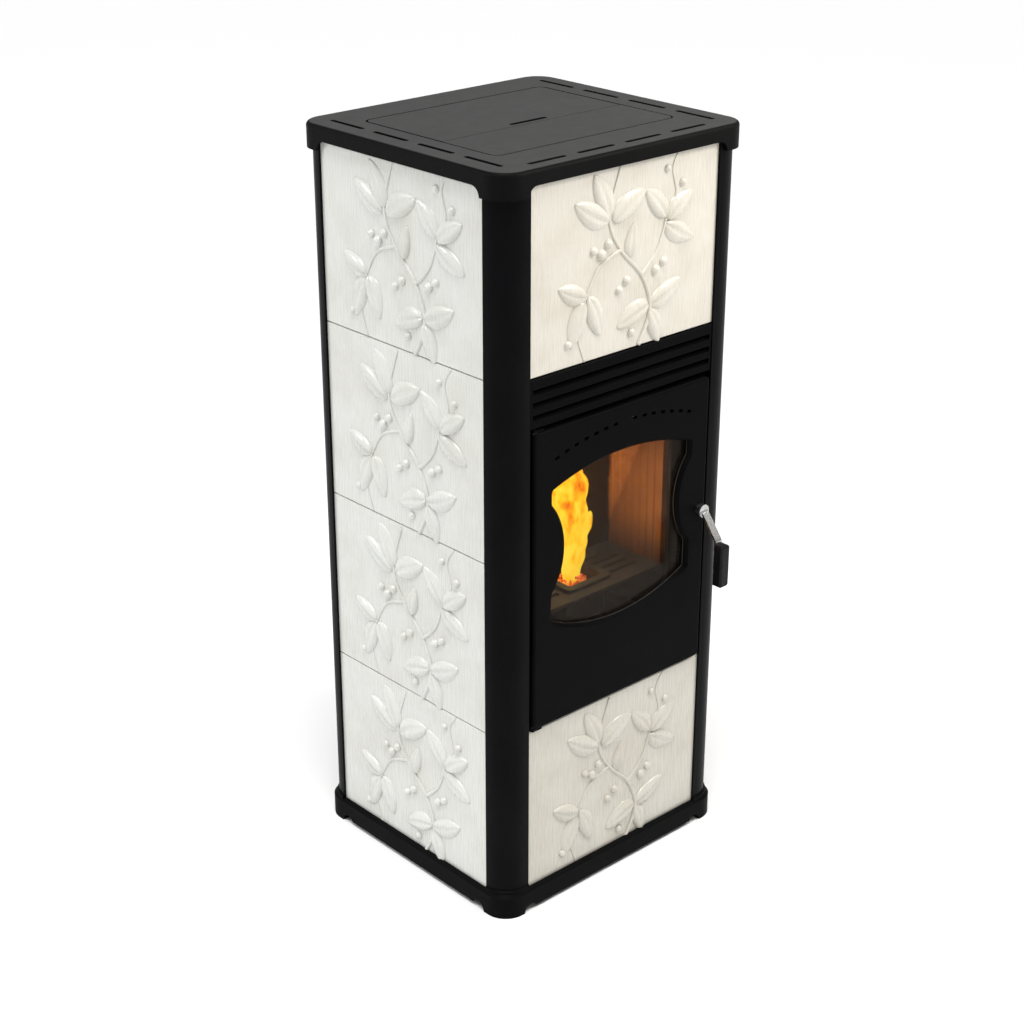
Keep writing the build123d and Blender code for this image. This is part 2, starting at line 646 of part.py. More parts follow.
# Lid pins: two short axles, fixed in the cap's lugs
with BuildPart() as lid_pins:
    pin_from = lid_half - LID_PIN_IN + SEAT
    pin_to = FIELD_HALF_X + LID_PIN_LEN
    for side_x in (-1, 1):
        with Locations((side_x * (pin_from + pin_to) / 2, lid_pivot_y, lid_pivot_z)):
            Cylinder(LID_PIN_R, pin_to - pin_from, rotation=(0, 90, 0))
lid_pins.part.label = "lid_pins"
export_step(lid_pins.part, "parts/lid_pins.step")

# Louvre: cast grille above the door, slid in between the front posts
louvre_top = row_z[3] - TILE_JOINT
louvre_low = row_z[3] - LOUVRE_H
louvre_front = front_face + LOUVRE_PROUD
louvre_deep = louvre_front - front_back
with BuildPart() as louvre_grille:
    block(
        -front_tile_half, front_tile_half, TILE_EASE / 2 - front_face, -front_back,
        louvre_low, louvre_top)
    block(SEAT - front_land_in, front_land_in - SEAT, -louvre_front, -front_back, louvre_low, louvre_top)
    chamfer(louvre_grille.faces().sort_by(Axis.Y)[0].edges(), TILE_EASE)
    with BuildSketch(Plane.XZ.offset(louvre_front)):
        for n in range(LOUVRE_GAPS):
            gap_top = louvre_top - LOUVRE_TOP_STRIP - n * LOUVRE_GAP_PITCH
            span(-front_land_in + LOUVRE_RIM, front_land_in - LOUVRE_RIM, gap_top - LOUVRE_GAP_H, gap_top)
    extrude(amount=hypot(louvre_deep, LOUVRE_CLIMB), dir=(0, louvre_deep, LOUVRE_CLIMB), mode=Mode.SUBTRACT)
louvre_grille.part.label = "louvre_grille"
export_step(louvre_grille.part, "parts/louvre_grille.step")

# Door frame: a plate behind the posts' flanges, with a neck back to the boiler
frame_back = flange_y - FRAME_THICK
boiler_front = frame_back - FRAME_TO_BOILER
door_low = row_z[1] + DOOR_SILL
door_high = louvre_low - DOOR_HEAD
door_half = DOOR_W / 2
door_front = front_face + DOOR_PROUD
door_back = door_front - DOOR_THICK
door_mid_y = -(door_front + door_back) / 2
win_top = door_high - WIN_HEAD
win_shoulder = win_top - WIN_ARCH
pinch_top = win_top - WIN_PINCH_FROM
pinch_low = win_top - WIN_PINCH_TO
win_hip = win_top - WIN_SIDE
win_low = win_top - WIN_H
hinge_x = HINGE_INSET - door_half
spindle_x = door_half - SPINDLE_IN
with BuildPart() as door_frame:
    with BuildSketch(Plane.XZ.offset(frame_back)):
        span(-FRAME_HALF, FRAME_HALF, door_low - FRAME_LAP, louvre_low + FRAME_LAP)
        span(-CHAMBER_HALF, CHAMBER_HALF, CHAMBER_FLOOR, CHAMBER_TOP, Mode.SUBTRACT)
        span(
            spindle_x - LATCH_SLOT_HALF, spindle_x + LATCH_SLOT_HALF,
            SPINDLE_Z - TONGUE_LEN - 3 * SLIDE, SPINDLE_Z + LATCH_SLOT_HALF, Mode.SUBTRACT)
    extrude(amount=FRAME_THICK)
    with BuildSketch(Plane.XZ.offset(frame_back)):
        span(
            -(CHAMBER_HALF + NECK_WALL), CHAMBER_HALF + NECK_WALL,
            CHAMBER_FLOOR - NECK_WALL, CHAMBER_TOP + NECK_WALL)
        span(-CHAMBER_HALF, CHAMBER_HALF, CHAMBER_FLOOR, CHAMBER_TOP, Mode.SUBTRACT)
    extrude(amount=-FRAME_TO_BOILER)
door_frame.part.label = "door_frame"
export_step(door_frame.part, "parts/door_frame.step")

# Hinge brackets: an angle below the door and one above it
bracket_in = -(front_tile_half - FLANGE_REACH - SEAT)
with BuildPart() as hinge_brackets:
    for edge_z, up in ((door_low, -1), (door_high, 1)):
        plate_z = edge_z + up * (SLIDE + BRACKET_THICK / 2)
        block(
            bracket_in, bracket_in + BRACKET_W, -flange_y, -door_front + BRACKET_BACK,
            plate_z - BRACKET_THICK / 2, plate_z + BRACKET_THICK / 2)
        block(
            bracket_in, bracket_in + BRACKET_W, -flange_y, -(flange_y + FLANGE),
            plate_z, plate_z + up * BRACKET_LEG)
        with Locations((hinge_x, door_mid_y, plate_z)):
            Cylinder(HINGE_PIN_R + RUN, 2 * BRACKET_THICK, mode=Mode.SUBTRACT)
hinge_brackets.part.label = "hinge_brackets"
export_step(hinge_brackets.part, "parts/hinge_brackets.step")

# Hinge pins: the lower one has a collar that carries the door
with BuildPart() as hinge_pins:
    for end_z, up in ((door_low, 1), (door_high, -1)):
        pin_from = end_z - up * (SLIDE + BRACKET_THICK)
        pin_to = end_z + up * HINGE_PIN_IN
        with Locations((hinge_x, door_mid_y, (pin_from + pin_to) / 2)):
            Cylinder(HINGE_PIN_R, abs(pin_to - pin_from))
        with Locations((hinge_x, door_mid_y, end_z - up * (SLIDE + SEAT) / 2)):
            Cylinder(HINGE_PIN_R + HINGE_COLLAR, SLIDE - SEAT)
hinge_pins.part.label = "hinge_pins"
export_step(hinge_pins.part, "parts/hinge_pins.step")


def window_outline():
    """Draw the window's edge in the open line: an arch above, one below and two drawn-in sides."""
    ThreePointArc((-WIN_HALF, win_shoulder), (0, win_top), (WIN_HALF, win_shoulder))
    ThreePointArc((-WIN_HALF, win_hip), (0, win_low), (WIN_HALF, win_hip))
    waist_z = (pinch_top + pinch_low) / 2
    for side_x in (-1, 1):
        Line((side_x * WIN_HALF, win_shoulder), (side_x * WIN_HALF, pinch_top))
        ThreePointArc(
            (side_x * WIN_HALF, pinch_top), (side_x * (WIN_HALF - WIN_PINCH), waist_z),
            (side_x * WIN_HALF, pinch_low))
        Line((side_x * WIN_HALF, pinch_low), (side_x * WIN_HALF, win_hip))


def gasket_loop():
    """Draw the rope gasket's loop in the open sketch."""
    loop_w = 2 * (door_half - GASKET_IN)
    loop_h = door_high - GASKET_HEAD - door_low - GASKET_FOOT
    with Locations((0, (door_high - GASKET_HEAD + door_low + GASKET_FOOT) / 2)):
        RectangleRounded(loop_w + GASKET_W, loop_h + GASKET_W, GASKET_BEND + GASKET_W / 2)
        RectangleRounded(
            loop_w - GASKET_W, loop_h - GASKET_W, GASKET_BEND - GASKET_W / 2, mode=Mode.SUBTRACT)


# Door: a casting with an arched window drawn in at the waist, and an arched row of air holes
plate_back = door_front - DOOR_PLATE
glass_half = WIN_HALF + GLASS_LAP
glass_low = win_low - GLASS_LAP
glass_high = win_top + GLASS_LAP
glass_front = plate_back - TAPE
glass_back = glass_front - GLASS_THICK
arch_r = (WIN_HALF ** 2 + WIN_ARCH ** 2) / (2 * WIN_ARCH)
vent_r = arch_r + VENT_RISE
vent_span = (VENT_LAST - VENT_FIRST) * VENT_STEP_DEG
pocket_low = door_low + GASKET_FOOT + GASKET_W / 2 + GASKET_LAND
pocket_high = door_high - GASKET_HEAD - GASKET_W / 2 - GASKET_LAND
clip_rows = (glass_low - CLIP_SEAT_H / 2 - SLIDE, glass_high + CLIP_SEAT_H / 2 + SLIDE)
with BuildPart() as door_casting:
    with BuildSketch(Plane.XZ.offset(door_back)):
        with Locations((0, (door_low + door_high) / 2)):
            RectangleRounded(DOOR_W, door_high - door_low, DOOR_CORNER)
    extrude(amount=DOOR_THICK)
    fillet(door_casting.faces().sort_by(Axis.Y)[0].edges(), DOOR_EDGE_ROUND)
    with BuildSketch(Plane.XZ.offset(door_back)):
        with BuildLine():
            window_outline()
        make_face()
        fillet(vertices(), WIN_CORNER)
    extrude(amount=DOOR_THICK, mode=Mode.SUBTRACT)
    chamfer(door_casting.faces().sort_by(Axis.Y)[0].inner_wires().edges(), WIN_BEVEL)
    with BuildSketch(Plane.XZ.offset(door_back)):
        with Locations((0, (pocket_low + pocket_high) / 2)):
            RectangleRounded(2 * (glass_half + SLIDE), pocket_high - pocket_low, POCKET_BEND)
    extrude(amount=DOOR_THICK - DOOR_PLATE, mode=Mode.SUBTRACT)
    with BuildSketch(Plane.XZ.offset(door_back)):
        with Locations((0, win_top - arch_r)):
            for start in (90 - VENT_LAST * VENT_STEP_DEG, 90 + VENT_FIRST * VENT_STEP_DEG):
                with PolarLocations(vent_r, VENT_LAST - VENT_FIRST + 1, start, vent_span, endpoint=True):
                    Rectangle(VENT_H, VENT_W)
    extrude(amount=DOOR_THICK, mode=Mode.SUBTRACT)
    with BuildSketch(Plane.XZ.offset(door_back)):
        gasket_loop()
    extrude(amount=GASKET_GROOVE, mode=Mode.SUBTRACT)
    for seat_z in clip_rows:
        for side_x in (-CLIP_X, CLIP_X):
            block(
                side_x - CLIP_W / 2, side_x + CLIP_W / 2, -plate_back, -(glass_back - SEAT),
                seat_z - CLIP_SEAT_H / 2, seat_z + CLIP_SEAT_H / 2)
    with Locations((hinge_x, door_mid_y, door_low), (hinge_x, door_mid_y, door_high)):
        Cylinder(HINGE_PIN_R + RUN, 2 * (HINGE_PIN_IN + SLIDE), mode=Mode.SUBTRACT)
    with Locations((spindle_x, door_mid_y, SPINDLE_Z)):
        Cylinder(SPINDLE_R + RUN, 2 * DOOR_THICK, rotation=(90, 0, 0), mode=Mode.SUBTRACT)
door_casting.part.label = "door_casting"
export_step(door_casting.part, "parts/door_casting.step")

# Glass: a ceramic pane on a flat tape, held by four clips
with BuildPart() as door_glass:
    block(-glass_half, glass_half, -glass_front, -glass_back, glass_low, glass_high)
door_glass.part.label = "door_glass"
export_step(door_glass.part, "parts/door_glass.step")

with BuildPart() as glass_gasket:
    with BuildSketch(Plane.XZ.offset(glass_front)):
        span(-glass_half, glass_half, glass_low, glass_high)
        with BuildLine():
            window_outline()
        make_face(mode=Mode.SUBTRACT)
    extrude(amount=TAPE)
glass_gasket.part.label = "glass_gasket"
export_step(glass_gasket.part, "parts/glass_gasket.step")

with BuildPart() as glass_clips:
    for seat_z, toward in zip(clip_rows, (1, -1)):
        for side_x in (-CLIP_X, CLIP_X):
            block(
                side_x - CLIP_W / 2, side_x + CLIP_W / 2, -(glass_back - SEAT),
                -(glass_back - SEAT - CLIP_THICK), seat_z - toward * CLIP_SEAT_H / 2,
                seat_z + toward * (CLIP_SEAT_H / 2 + GLASS_LAP))
glass_clips.part.label = "glass_clips"
export_step(glass_clips.part, "parts/glass_clips.step")

# Door gasket: a rope in the groove round the door's back
with BuildPart() as door_gasket:
    with BuildSketch(Plane.XZ.offset(door_back + GASKET_GROOVE)):
        gasket_loop()
    extrude(amount=-(door_back + GASKET_GROOVE - flange_y - SEAT))
    fillet(door_gasket.faces().sort_by(Axis.Y)[-1].edges(), GASKET_W / 4)
door_gasket.part.label = "door_gasket"
export_step(door_gasket.part, "parts/door_gasket.step")

# Handle: a bent strip on a hub, that stands out from the door and falls to the grip
hub_y = -(door_front + SEAT)
tang_y = GRIP_THICK + LEVER_THICK / 2 - REAR_REACH
tang_low = SPINDLE_Z - LEVER_FALL - LEVER_TANG
with BuildPart() as handle_lever:
    with Locations((spindle_x, hub_y - HUB_LEN / 2, SPINDLE_Z)):
        Cylinder(HUB_R, HUB_LEN, rotation=(90, 0, 0))
    with BuildSketch(Plane.YZ.offset(spindle_x - LEVER_W / 2)):
        with BuildLine():
            FilletPolyline(
                (hub_y - SLIDE, SPINDLE_Z), (hub_y - HUB_LEN, SPINDLE_Z),
                (tang_y, SPINDLE_Z - LEVER_FALL), (tang_y, tang_low), radius=LEVER_BEND)
        trace(line_width=LEVER_THICK)
    extrude(amount=LEVER_W)
    with Locations((spindle_x, hub_y, SPINDLE_Z)):
        Cylinder(SPINDLE_R + RUN, 2 * (HUB_LEN - SLIDE), rotation=(90, 0, 0), mode=Mode.SUBTRACT)
handle_lever.part.label = "handle_lever"
export_step(handle_lever.part, "parts/handle_lever.step")

grip_high = tang_low + GRIP_H
with BuildPart() as handle_grip:
    with BuildSketch(Plane.XZ.offset(-tang_y + LEVER_THICK / 2)):
        with Locations((spindle_x, grip_high - GRIP_H / 2)):
            RectangleRounded(GRIP_W, GRIP_H, GRIP_CORNER)
    extrude(amount=GRIP_THICK)
    fillet(handle_grip.faces().sort_by(Axis.Y)[0].edges(), GRIP_ROUND)
handle_grip.part.label = "handle_grip"
export_step(handle_grip.part, "parts/handle_grip.step")

# Latch: the spindle through the door, and the tongue that catches behind the frame
tongue_front = frame_back - SLIDE
with BuildPart() as latch_tongue:
    with BuildSketch(Plane.XZ.offset(tongue_front - TONGUE_THICK)):
        with Locations((spindle_x, SPINDLE_Z)):
            Circle(TONGUE_HUB_R)
        span(
            spindle_x - TONGUE_W / 2, spindle_x + TONGUE_W / 2,
            SPINDLE_Z - TONGUE_LEN, SPINDLE_Z)
    extrude(amount=TONGUE_THICK)
    with BuildSketch(Plane.XZ.offset(tongue_front)):
        with Locations((spindle_x, SPINDLE_Z)):
            Circle(SPINDLE_R)
    extrude(amount=-hub_y + HUB_LEN - SLIDE - SEAT - tongue_front)
latch_tongue.part.label = "latch_tongue"
export_step(latch_tongue.part, "parts/latch_tongue.step")

# Boiler: a welded water jacket round the fire chamber
boiler_half = CHAMBER_HALF + 2 * BOILER_WALL + JACKET_SIDE
boiler_back = CHAMBER_BACK + 2 * BOILER_WALL + JACKET_BACK
boiler_low = CHAMBER_FLOOR - 2 * BOILER_WALL - JACKET_FLOOR
tube_y = (CHAMBER_BACK - boiler_front) / 2
WATER_STUBS = (RETURN_X, DRAIN_X, RELIEF_X)
with BuildPart() as boiler_body:
    block(-boiler_half, boiler_half, -boiler_front, boiler_back, boiler_low, BOILER_TOP)
    block(
        BOILER_WALL - boiler_half, boiler_half - BOILER_WALL, BOILER_WALL - boiler_front,
        boiler_back - BOILER_WALL, boiler_low + BOILER_WALL, BOILER_TOP - BOILER_WALL, Mode.SUBTRACT)
    block(
        -(CHAMBER_HALF + BOILER_WALL), CHAMBER_HALF + BOILER_WALL, -boiler_front,
        CHAMBER_BACK + BOILER_WALL, CHAMBER_FLOOR - BOILER_WALL, CHAMBER_TOP + BOILER_WALL)
    block(
        DOWN_LEFT - BOILER_WALL, DOWN_RIGHT + BOILER_WALL, CHAMBER_BACK, boiler_back,
        boiler_low, BOILER_TOP)
    block(
        -(TUNNEL_HALF + BOILER_WALL), TUNNEL_HALF + BOILER_WALL, CHAMBER_BACK, boiler_back,
        TUNNEL_LOW - BOILER_WALL, TUNNEL_HIGH + BOILER_WALL)
    for tunnel_x, tunnel_z, tunnel_r in ((AIR_X, AIR_Z, AIR_R), (0, IGNITER_Z, IGNITER_R)):
        with Locations((tunnel_x, (CHAMBER_BACK + boiler_back) / 2, tunnel_z)):
            Cylinder(tunnel_r + BOILER_WALL, boiler_back - CHAMBER_BACK, rotation=(90, 0, 0))
            Cylinder(
                tunnel_r + SEAT, 2 * (boiler_back - CHAMBER_BACK), rotation=(90, 0, 0), mode=Mode.SUBTRACT)
    block(
        -CHAMBER_HALF, CHAMBER_HALF, -boiler_front, CHAMBER_BACK, CHAMBER_FLOOR, CHAMBER_TOP,
        Mode.SUBTRACT)
    block(
        DOWN_LEFT, DOWN_RIGHT, CHAMBER_BACK + BOILER_WALL, boiler_back - BOILER_WALL,
        boiler_low + BOILER_WALL, BOILER_TOP, Mode.SUBTRACT)
    block(
        DOWN_LEFT, FAN_X - BOILER_WALL, boiler_back - BOILER_WALL, boiler_back,
        EXIT_LOW, EXIT_HIGH, Mode.SUBTRACT)
    block(-TUNNEL_HALF, TUNNEL_HALF, CHAMBER_BACK, boiler_back, TUNNEL_LOW, TUNNEL_HIGH, Mode.SUBTRACT)
    with Locations((0, tube_y, BOILER_TOP)):
        with GridLocations(TUBE_PITCH_X, TUBE_PITCH_Y, TUBE_COLS, TUBE_ROWS_Y):
            Cylinder(TUBE_R + SEAT / 2, 2 * (BOILER_TOP - CHAMBER_TOP), mode=Mode.SUBTRACT)
    for stub_x in WATER_STUBS:
        with Locations((stub_x, boiler_back, STUB_Z)):
            Cylinder(PIPE_BORE, 3 * BOILER_WALL, rotation=(90, 0, 0), mode=Mode.SUBTRACT)
    with Locations((-boiler_half, VESSEL_Y, STUB_Z)):
        Cylinder(PIPE_BORE, 3 * BOILER_WALL, rotation=(0, 90, 0), mode=Mode.SUBTRACT)
    with Locations((FLOW_X, FLOW_Y, BOILER_TOP)):
        Cylinder(PIPE_BORE, 3 * BOILER_WALL, mode=Mode.SUBTRACT)
boiler_body.part.label = "boiler_body"
export_step(boiler_body.part, "parts/boiler_body.step")

# Smoke tubes: ten, from the chamber's roof through the water to the top
with BuildPart() as smoke_tubes:
    with BuildSketch(Plane.XY.offset(CHAMBER_TOP)):
        with Locations((0, tube_y)):
            with GridLocations(TUBE_PITCH_X, TUBE_PITCH_Y, TUBE_COLS, TUBE_ROWS_Y):
                Circle(TUBE_R)
                Circle(TUBE_R - TUBE_WALL, mode=Mode.SUBTRACT)
    extrude(amount=BOILER_TOP - CHAMBER_TOP)
smoke_tubes.part.label = "smoke_tubes"
export_step(smoke_tubes.part, "parts/smoke_tubes.step")

# Smoke cover: turns the smoke from the tubes into the downcomer
with BuildPart() as smoke_cover:
    block(
        -COVER_HALF, COVER_HALF, COVER_FRONT - boiler_front, boiler_back - SLIDE,
        BOILER_TOP, BOILER_TOP + COVER_H)
    fillet(smoke_cover.edges().filter_by(Axis.Z), COVER_R)
    block(
        SHEET - COVER_HALF, COVER_HALF - SHEET, COVER_FRONT + SHEET - boiler_front,
        boiler_back - SLIDE - SHEET, BOILER_TOP, BOILER_TOP + COVER_H - SHEET, Mode.SUBTRACT)
smoke_cover.part.label = "smoke_cover"
export_step(smoke_cover.part, "parts/smoke_cover.step")

# Lining: fluted side plates and a back plate, standing on the hearth plate
lining_side = CHAMBER_HALF - SEAT
lining_back = CHAMBER_BACK - SEAT
lining_low = HEARTH_TOP
with BuildPart() as fire_lining:
    for side_x in (-1, 1):
        block(
            side_x * lining_side, side_x * (lining_side - LINING), LINING_IN - boiler_front,
            lining_back - LINING - SEAT, lining_low, LINING_TOP)
        for n in range(FLUTES):
            flute_y = LINING_IN - boiler_front + (n + 1) * FLUTE_PITCH
            with Locations((side_x * (lining_side - LINING), flute_y, (lining_low + LINING_TOP) / 2)):
                Cylinder(FLUTE_R, LINING_TOP - lining_low, mode=Mode.SUBTRACT)
    block(-lining_side, lining_side, lining_back - LINING, lining_back, lining_low, LINING_TOP)
    block(
        -TUNNEL_HALF, TUNNEL_HALF, lining_back - LINING, lining_back,
        TUNNEL_LOW, TUNNEL_HIGH, Mode.SUBTRACT)
fire_lining.part.label = "fire_lining"
export_step(fire_lining.part, "parts/fire_lining.step")

# Flame baffle: a plate laid on the lining, with two holes to lift it by
with BuildPart() as flame_baffle:
    with BuildSketch(Plane.XY.offset(LINING_TOP + SEAT)):
        span(-lining_side + SLIDE, lining_side - SLIDE, BAFFLE_IN - boiler_front, lining_back)
        with Locations((0, (BAFFLE_IN - boiler_front + lining_back) / 2)):
            with GridLocations(lining_side, 1, 2, 1):
                SlotOverall(3 * BAFFLE_THICK, BAFFLE_THICK, mode=Mode.SUBTRACT)
    extrude(amount=BAFFLE_THICK)
flame_baffle.part.label = "flame_baffle"
export_step(flame_baffle.part, "parts/flame_baffle.step")

# Hearth plate: carries the lining and the burn pot over the ash drawer
with BuildPart() as hearth_plate:
    block(
        -(CHAMBER_HALF - SEAT), CHAMBER_HALF - SEAT, HEARTH_IN - boiler_front, CHAMBER_BACK - SEAT,
        HEARTH_TOP - HEARTH_THICK, HEARTH_TOP)
    block(
        -(POT_W / 2 + SLIDE), POT_W / 2 + SLIDE, POT_Y - POT_D / 2 - SLIDE, POT_Y + POT_D / 2 + SLIDE,
        HEARTH_TOP - HEARTH_THICK, HEARTH_TOP, Mode.SUBTRACT)
    with Locations((0, POT_Y, HEARTH_TOP)):
        with GridLocations(ASH_SLOT_SPREAD, ASH_SLOT_PITCH, 2, ASH_SLOTS):
            Box(ASH_SLOT_L, ASH_SLOT_W, 3 * HEARTH_THICK, mode=Mode.SUBTRACT)
    for side_x in (-1, 1):
        block(
            side_x * (CHAMBER_HALF - SEAT), side_x * (CHAMBER_HALF - SEAT - HEARTH_THICK),
            HEARTH_IN - boiler_front, CHAMBER_BACK - SEAT, CHAMBER_FLOOR, HEARTH_TOP)
hearth_plate.part.label = "hearth_plate"
export_step(hearth_plate.part, "parts/hearth_plate.step")

# Burn pot: a cast cup with a rim, an air grate in its floor and air holes in its walls
pot_low = HEARTH_TOP + POT_RIM_THICK - POT_H
pot_seat = HEARTH_TOP + SEAT
with BuildPart() as burn_pot:
    with BuildSketch(Plane.XY.offset(pot_seat)):
        with Locations((0, POT_Y)):
            RectangleRounded(POT_W + 2 * POT_RIM, POT_D + 2 * POT_RIM, POT_RIM)
    extrude(amount=POT_RIM_THICK)
    with BuildSketch(Plane.XY.offset(pot_low)):
        with Locations((0, POT_Y)):
            RectangleRounded(POT_W, POT_D, POT_RIM)
    extrude(amount=pot_seat - pot_low)
    with BuildSketch(Plane.XY.offset(pot_low + POT_WALL)):
        with Locations((0, POT_Y)):
            RectangleRounded(POT_W - 2 * POT_WALL, POT_D - 2 * POT_WALL, POT_INNER_R)
    extrude(amount=POT_H, mode=Mode.SUBTRACT)
    with Locations((0, POT_Y, pot_low)):
        with GridLocations(GRATE_PITCH, GRATE_PITCH, GRATE_HOLES, GRATE_HOLES):
            Cylinder(GRATE_HOLE_R, 4 * POT_WALL, mode=Mode.SUBTRACT)
    with Locations((0, POT_Y, pot_low + POT_H / 2)):
        with GridLocations(2 * GRATE_PITCH, 1, 3, 1):
            Cylinder(GRATE_HOLE_R, 2 * POT_D, rotation=(90, 0, 0), mode=Mode.SUBTRACT)
    with Locations((0, POT_Y + POT_D / 2, IGNITER_Z)):
        Cylinder(IGNITER_R, 3 * POT_WALL, rotation=(90, 0, 0), mode=Mode.SUBTRACT)
burn_pot.part.label = "burn_pot"
export_step(burn_pot.part, "parts/burn_pot.step")

# Ash drawer: a sheet tray under the hearth plate, with a bent pull
drawer_low = CHAMBER_FLOOR + SEAT
drawer_front = DRAWER_IN - boiler_front
with BuildPart() as ash_drawer:
    block(
        -DRAWER_HALF, DRAWER_HALF, drawer_front, drawer_front + DRAWER_D,
        drawer_low, drawer_low + DRAWER_H)
    block(
        SHEET - DRAWER_HALF, DRAWER_HALF - SHEET, drawer_front + SHEET, drawer_front + DRAWER_D - SHEET,
        drawer_low + SHEET, drawer_low + DRAWER_H, Mode.SUBTRACT)
    pull_z = drawer_low + DRAWER_H / 2
    with BuildSketch(Plane.XY.offset(pull_z)):
        with Locations((0, drawer_front)):
            Ellipse(PULL_HALF, PULL_OUT)
            Ellipse(PULL_HALF - PULL_THICK, PULL_OUT - PULL_THICK, mode=Mode.SUBTRACT)
            Rectangle(3 * PULL_HALF, 2 * SHEET, mode=Mode.SUBTRACT)
        span(-PULL_HALF, PULL_HALF, drawer_front, drawer_front + PULL_OUT, Mode.SUBTRACT)
        span(-PULL_HALF, PULL_THICK - PULL_HALF, drawer_front - 2 * SHEET, drawer_front)
        span(PULL_HALF - PULL_THICK, PULL_HALF, drawer_front - 2 * SHEET, drawer_front)
    extrude(amount=PULL_H)
ash_drawer.part.label = "ash_drawer"
export_step(ash_drawer.part, "parts/ash_drawer.step")

# Igniter: a hot rod through the jacket, aimed at the pot's back
with BuildPart() as igniter:
    rod_from = POT_Y + POT_D / 2 + 2 * SLIDE
    for radius, y0, y1 in (
        (IGNITER_ROD_R, rod_from, boiler_back),
        (2 * IGNITER_R, boiler_back, boiler_back + IGNITER_FLANGE),
        (IGNITER_R, boiler_back + IGNITER_FLANGE, boiler_back + IGNITER_FLANGE + IGNITER_BODY),
    ):
        with Locations((0, (y0 + y1) / 2, IGNITER_Z)):
            Cylinder(radius, y1 - y0, rotation=(90, 0, 0))
igniter.part.label = "igniter"
export_step(igniter.part, "parts/igniter.step")

# Stand: four angle legs and two rings that carry the boiler, and saddles for the vessel
with BuildPart() as boiler_stand:
    stand_front = -boiler_front
    for ring_low in (pan_top, boiler_low - STAND_SHEET):
        with BuildSketch(Plane.XY.offset(ring_low)):
            span(-boiler_half, boiler_half, stand_front, boiler_back)
            span(
                STAND_LEG - boiler_half, boiler_half - STAND_LEG,
                stand_front + STAND_LEG, boiler_back - STAND_LEG, Mode.SUBTRACT)
        extrude(amount=STAND_SHEET)
    with BuildSketch(Plane.XY.offset(pan_top)):
        span(-boiler_half, boiler_half, stand_front, boiler_back)
        span(
            STAND_SHEET - boiler_half, boiler_half - STAND_SHEET,
            stand_front + STAND_SHEET, boiler_back - STAND_SHEET, Mode.SUBTRACT)
        Rectangle(2 * (boiler_half - STAND_LEG), 4 * boiler_front, mode=Mode.SUBTRACT)
        span(
            -2 * boiler_half, 2 * boiler_half,
            stand_front + STAND_LEG, boiler_back - STAND_LEG, Mode.SUBTRACT)
    extrude(amount=boiler_low - pan_top)
    for saddle_x in (VESSEL_X - VESSEL_L / 4, VESSEL_X + VESSEL_L / 4):
        with BuildSketch(Plane.YZ.offset(saddle_x)):
            span(stand_front, boiler_back, pan_top, pan_top + STAND_LEG)
            span(VESSEL_Y - SADDLE_HALF, VESSEL_Y + SADDLE_HALF, pan_top, VESSEL_Z - VESSEL_R / 2)
            with Locations((VESSEL_Y, VESSEL_Z)):
                Circle(VESSEL_R + SEAT, mode=Mode.SUBTRACT)
        extrude(amount=STAND_SHEET)
boiler_stand.part.label = "boiler_stand"
export_step(boiler_stand.part, "parts/boiler_stand.step")

# Pellet hopper: folded sheet, with a neck up to the lid and a funnel down to the auger
HOPPER_LEVELS = (
    (plate_under - SEAT, HOPPER_MOUTH_HALF, MOUTH_FRONT, MOUTH_BACK),
    (HOPPER_NECK, HOPPER_MOUTH_HALF, MOUTH_FRONT, MOUTH_BACK),
    (HOPPER_SHOULDER, HOPPER_HALF, HOPPER_FRONT, HOPPER_BACK),
    (HOPPER_WAIST, HOPPER_HALF, HOPPER_FRONT, HOPPER_BACK),
    (HOPPER_FOOT, HOPPER_OUT_HALF, HOPPER_OUT_FRONT, HOPPER_OUT_BACK),
)
with BuildPart() as pellet_hopper:
    for grow, mode in ((SHEET, Mode.ADD), (0, Mode.SUBTRACT)):
        for upper, lower in zip(HOPPER_LEVELS, HOPPER_LEVELS[1:]):
            for level_z, half, front, back in (upper, lower):
                with BuildSketch(Plane.XY.offset(level_z)):
                    span(-half - grow, half + grow, front - grow, back + grow)
            loft(ruled=True, mode=mode)
pellet_hopper.part.label = "pellet_hopper"
export_step(pellet_hopper.part, "parts/pellet_hopper.step")

# Auger: its axis climbs forward from the gearmotor to the chute
auger_len = hypot(AUGER_HIGH_Y - AUGER_LOW_Y, AUGER_HIGH_Z - AUGER_LOW_Z)
auger_dir = (0, (AUGER_HIGH_Y - AUGER_LOW_Y) / auger_len, (AUGER_HIGH_Z - AUGER_LOW_Z) / auger_len)
auger_plane = Plane(origin=(0, AUGER_LOW_Y, AUGER_LOW_Z), x_dir=(1, 0, 0), z_dir=auger_dir)
with BuildPart() as auger_tube:
    with BuildSketch(auger_plane):
        Circle(TUBE_BORE_R + TUBE_SKIN)
    extrude(amount=auger_len)
    block(
        -(HOPPER_OUT_HALF + SHEET), HOPPER_OUT_HALF + SHEET, HOPPER_OUT_FRONT - SHEET,
        HOPPER_OUT_BACK + SHEET, COLLAR_LOW, HOPPER_FOOT - SEAT)
    block(
        -HOPPER_OUT_HALF, HOPPER_OUT_HALF, HOPPER_OUT_FRONT, HOPPER_OUT_BACK,
        COLLAR_LOW + TUBE_SKIN, HOPPER_FOOT, Mode.SUBTRACT)
    with BuildSketch(auger_plane):
        Circle(TUBE_BORE_R)
    extrude(amount=auger_len, mode=Mode.SUBTRACT)
auger_tube.part.label = "auger_tube"
export_step(auger_tube.part, "parts/auger_tube.step")

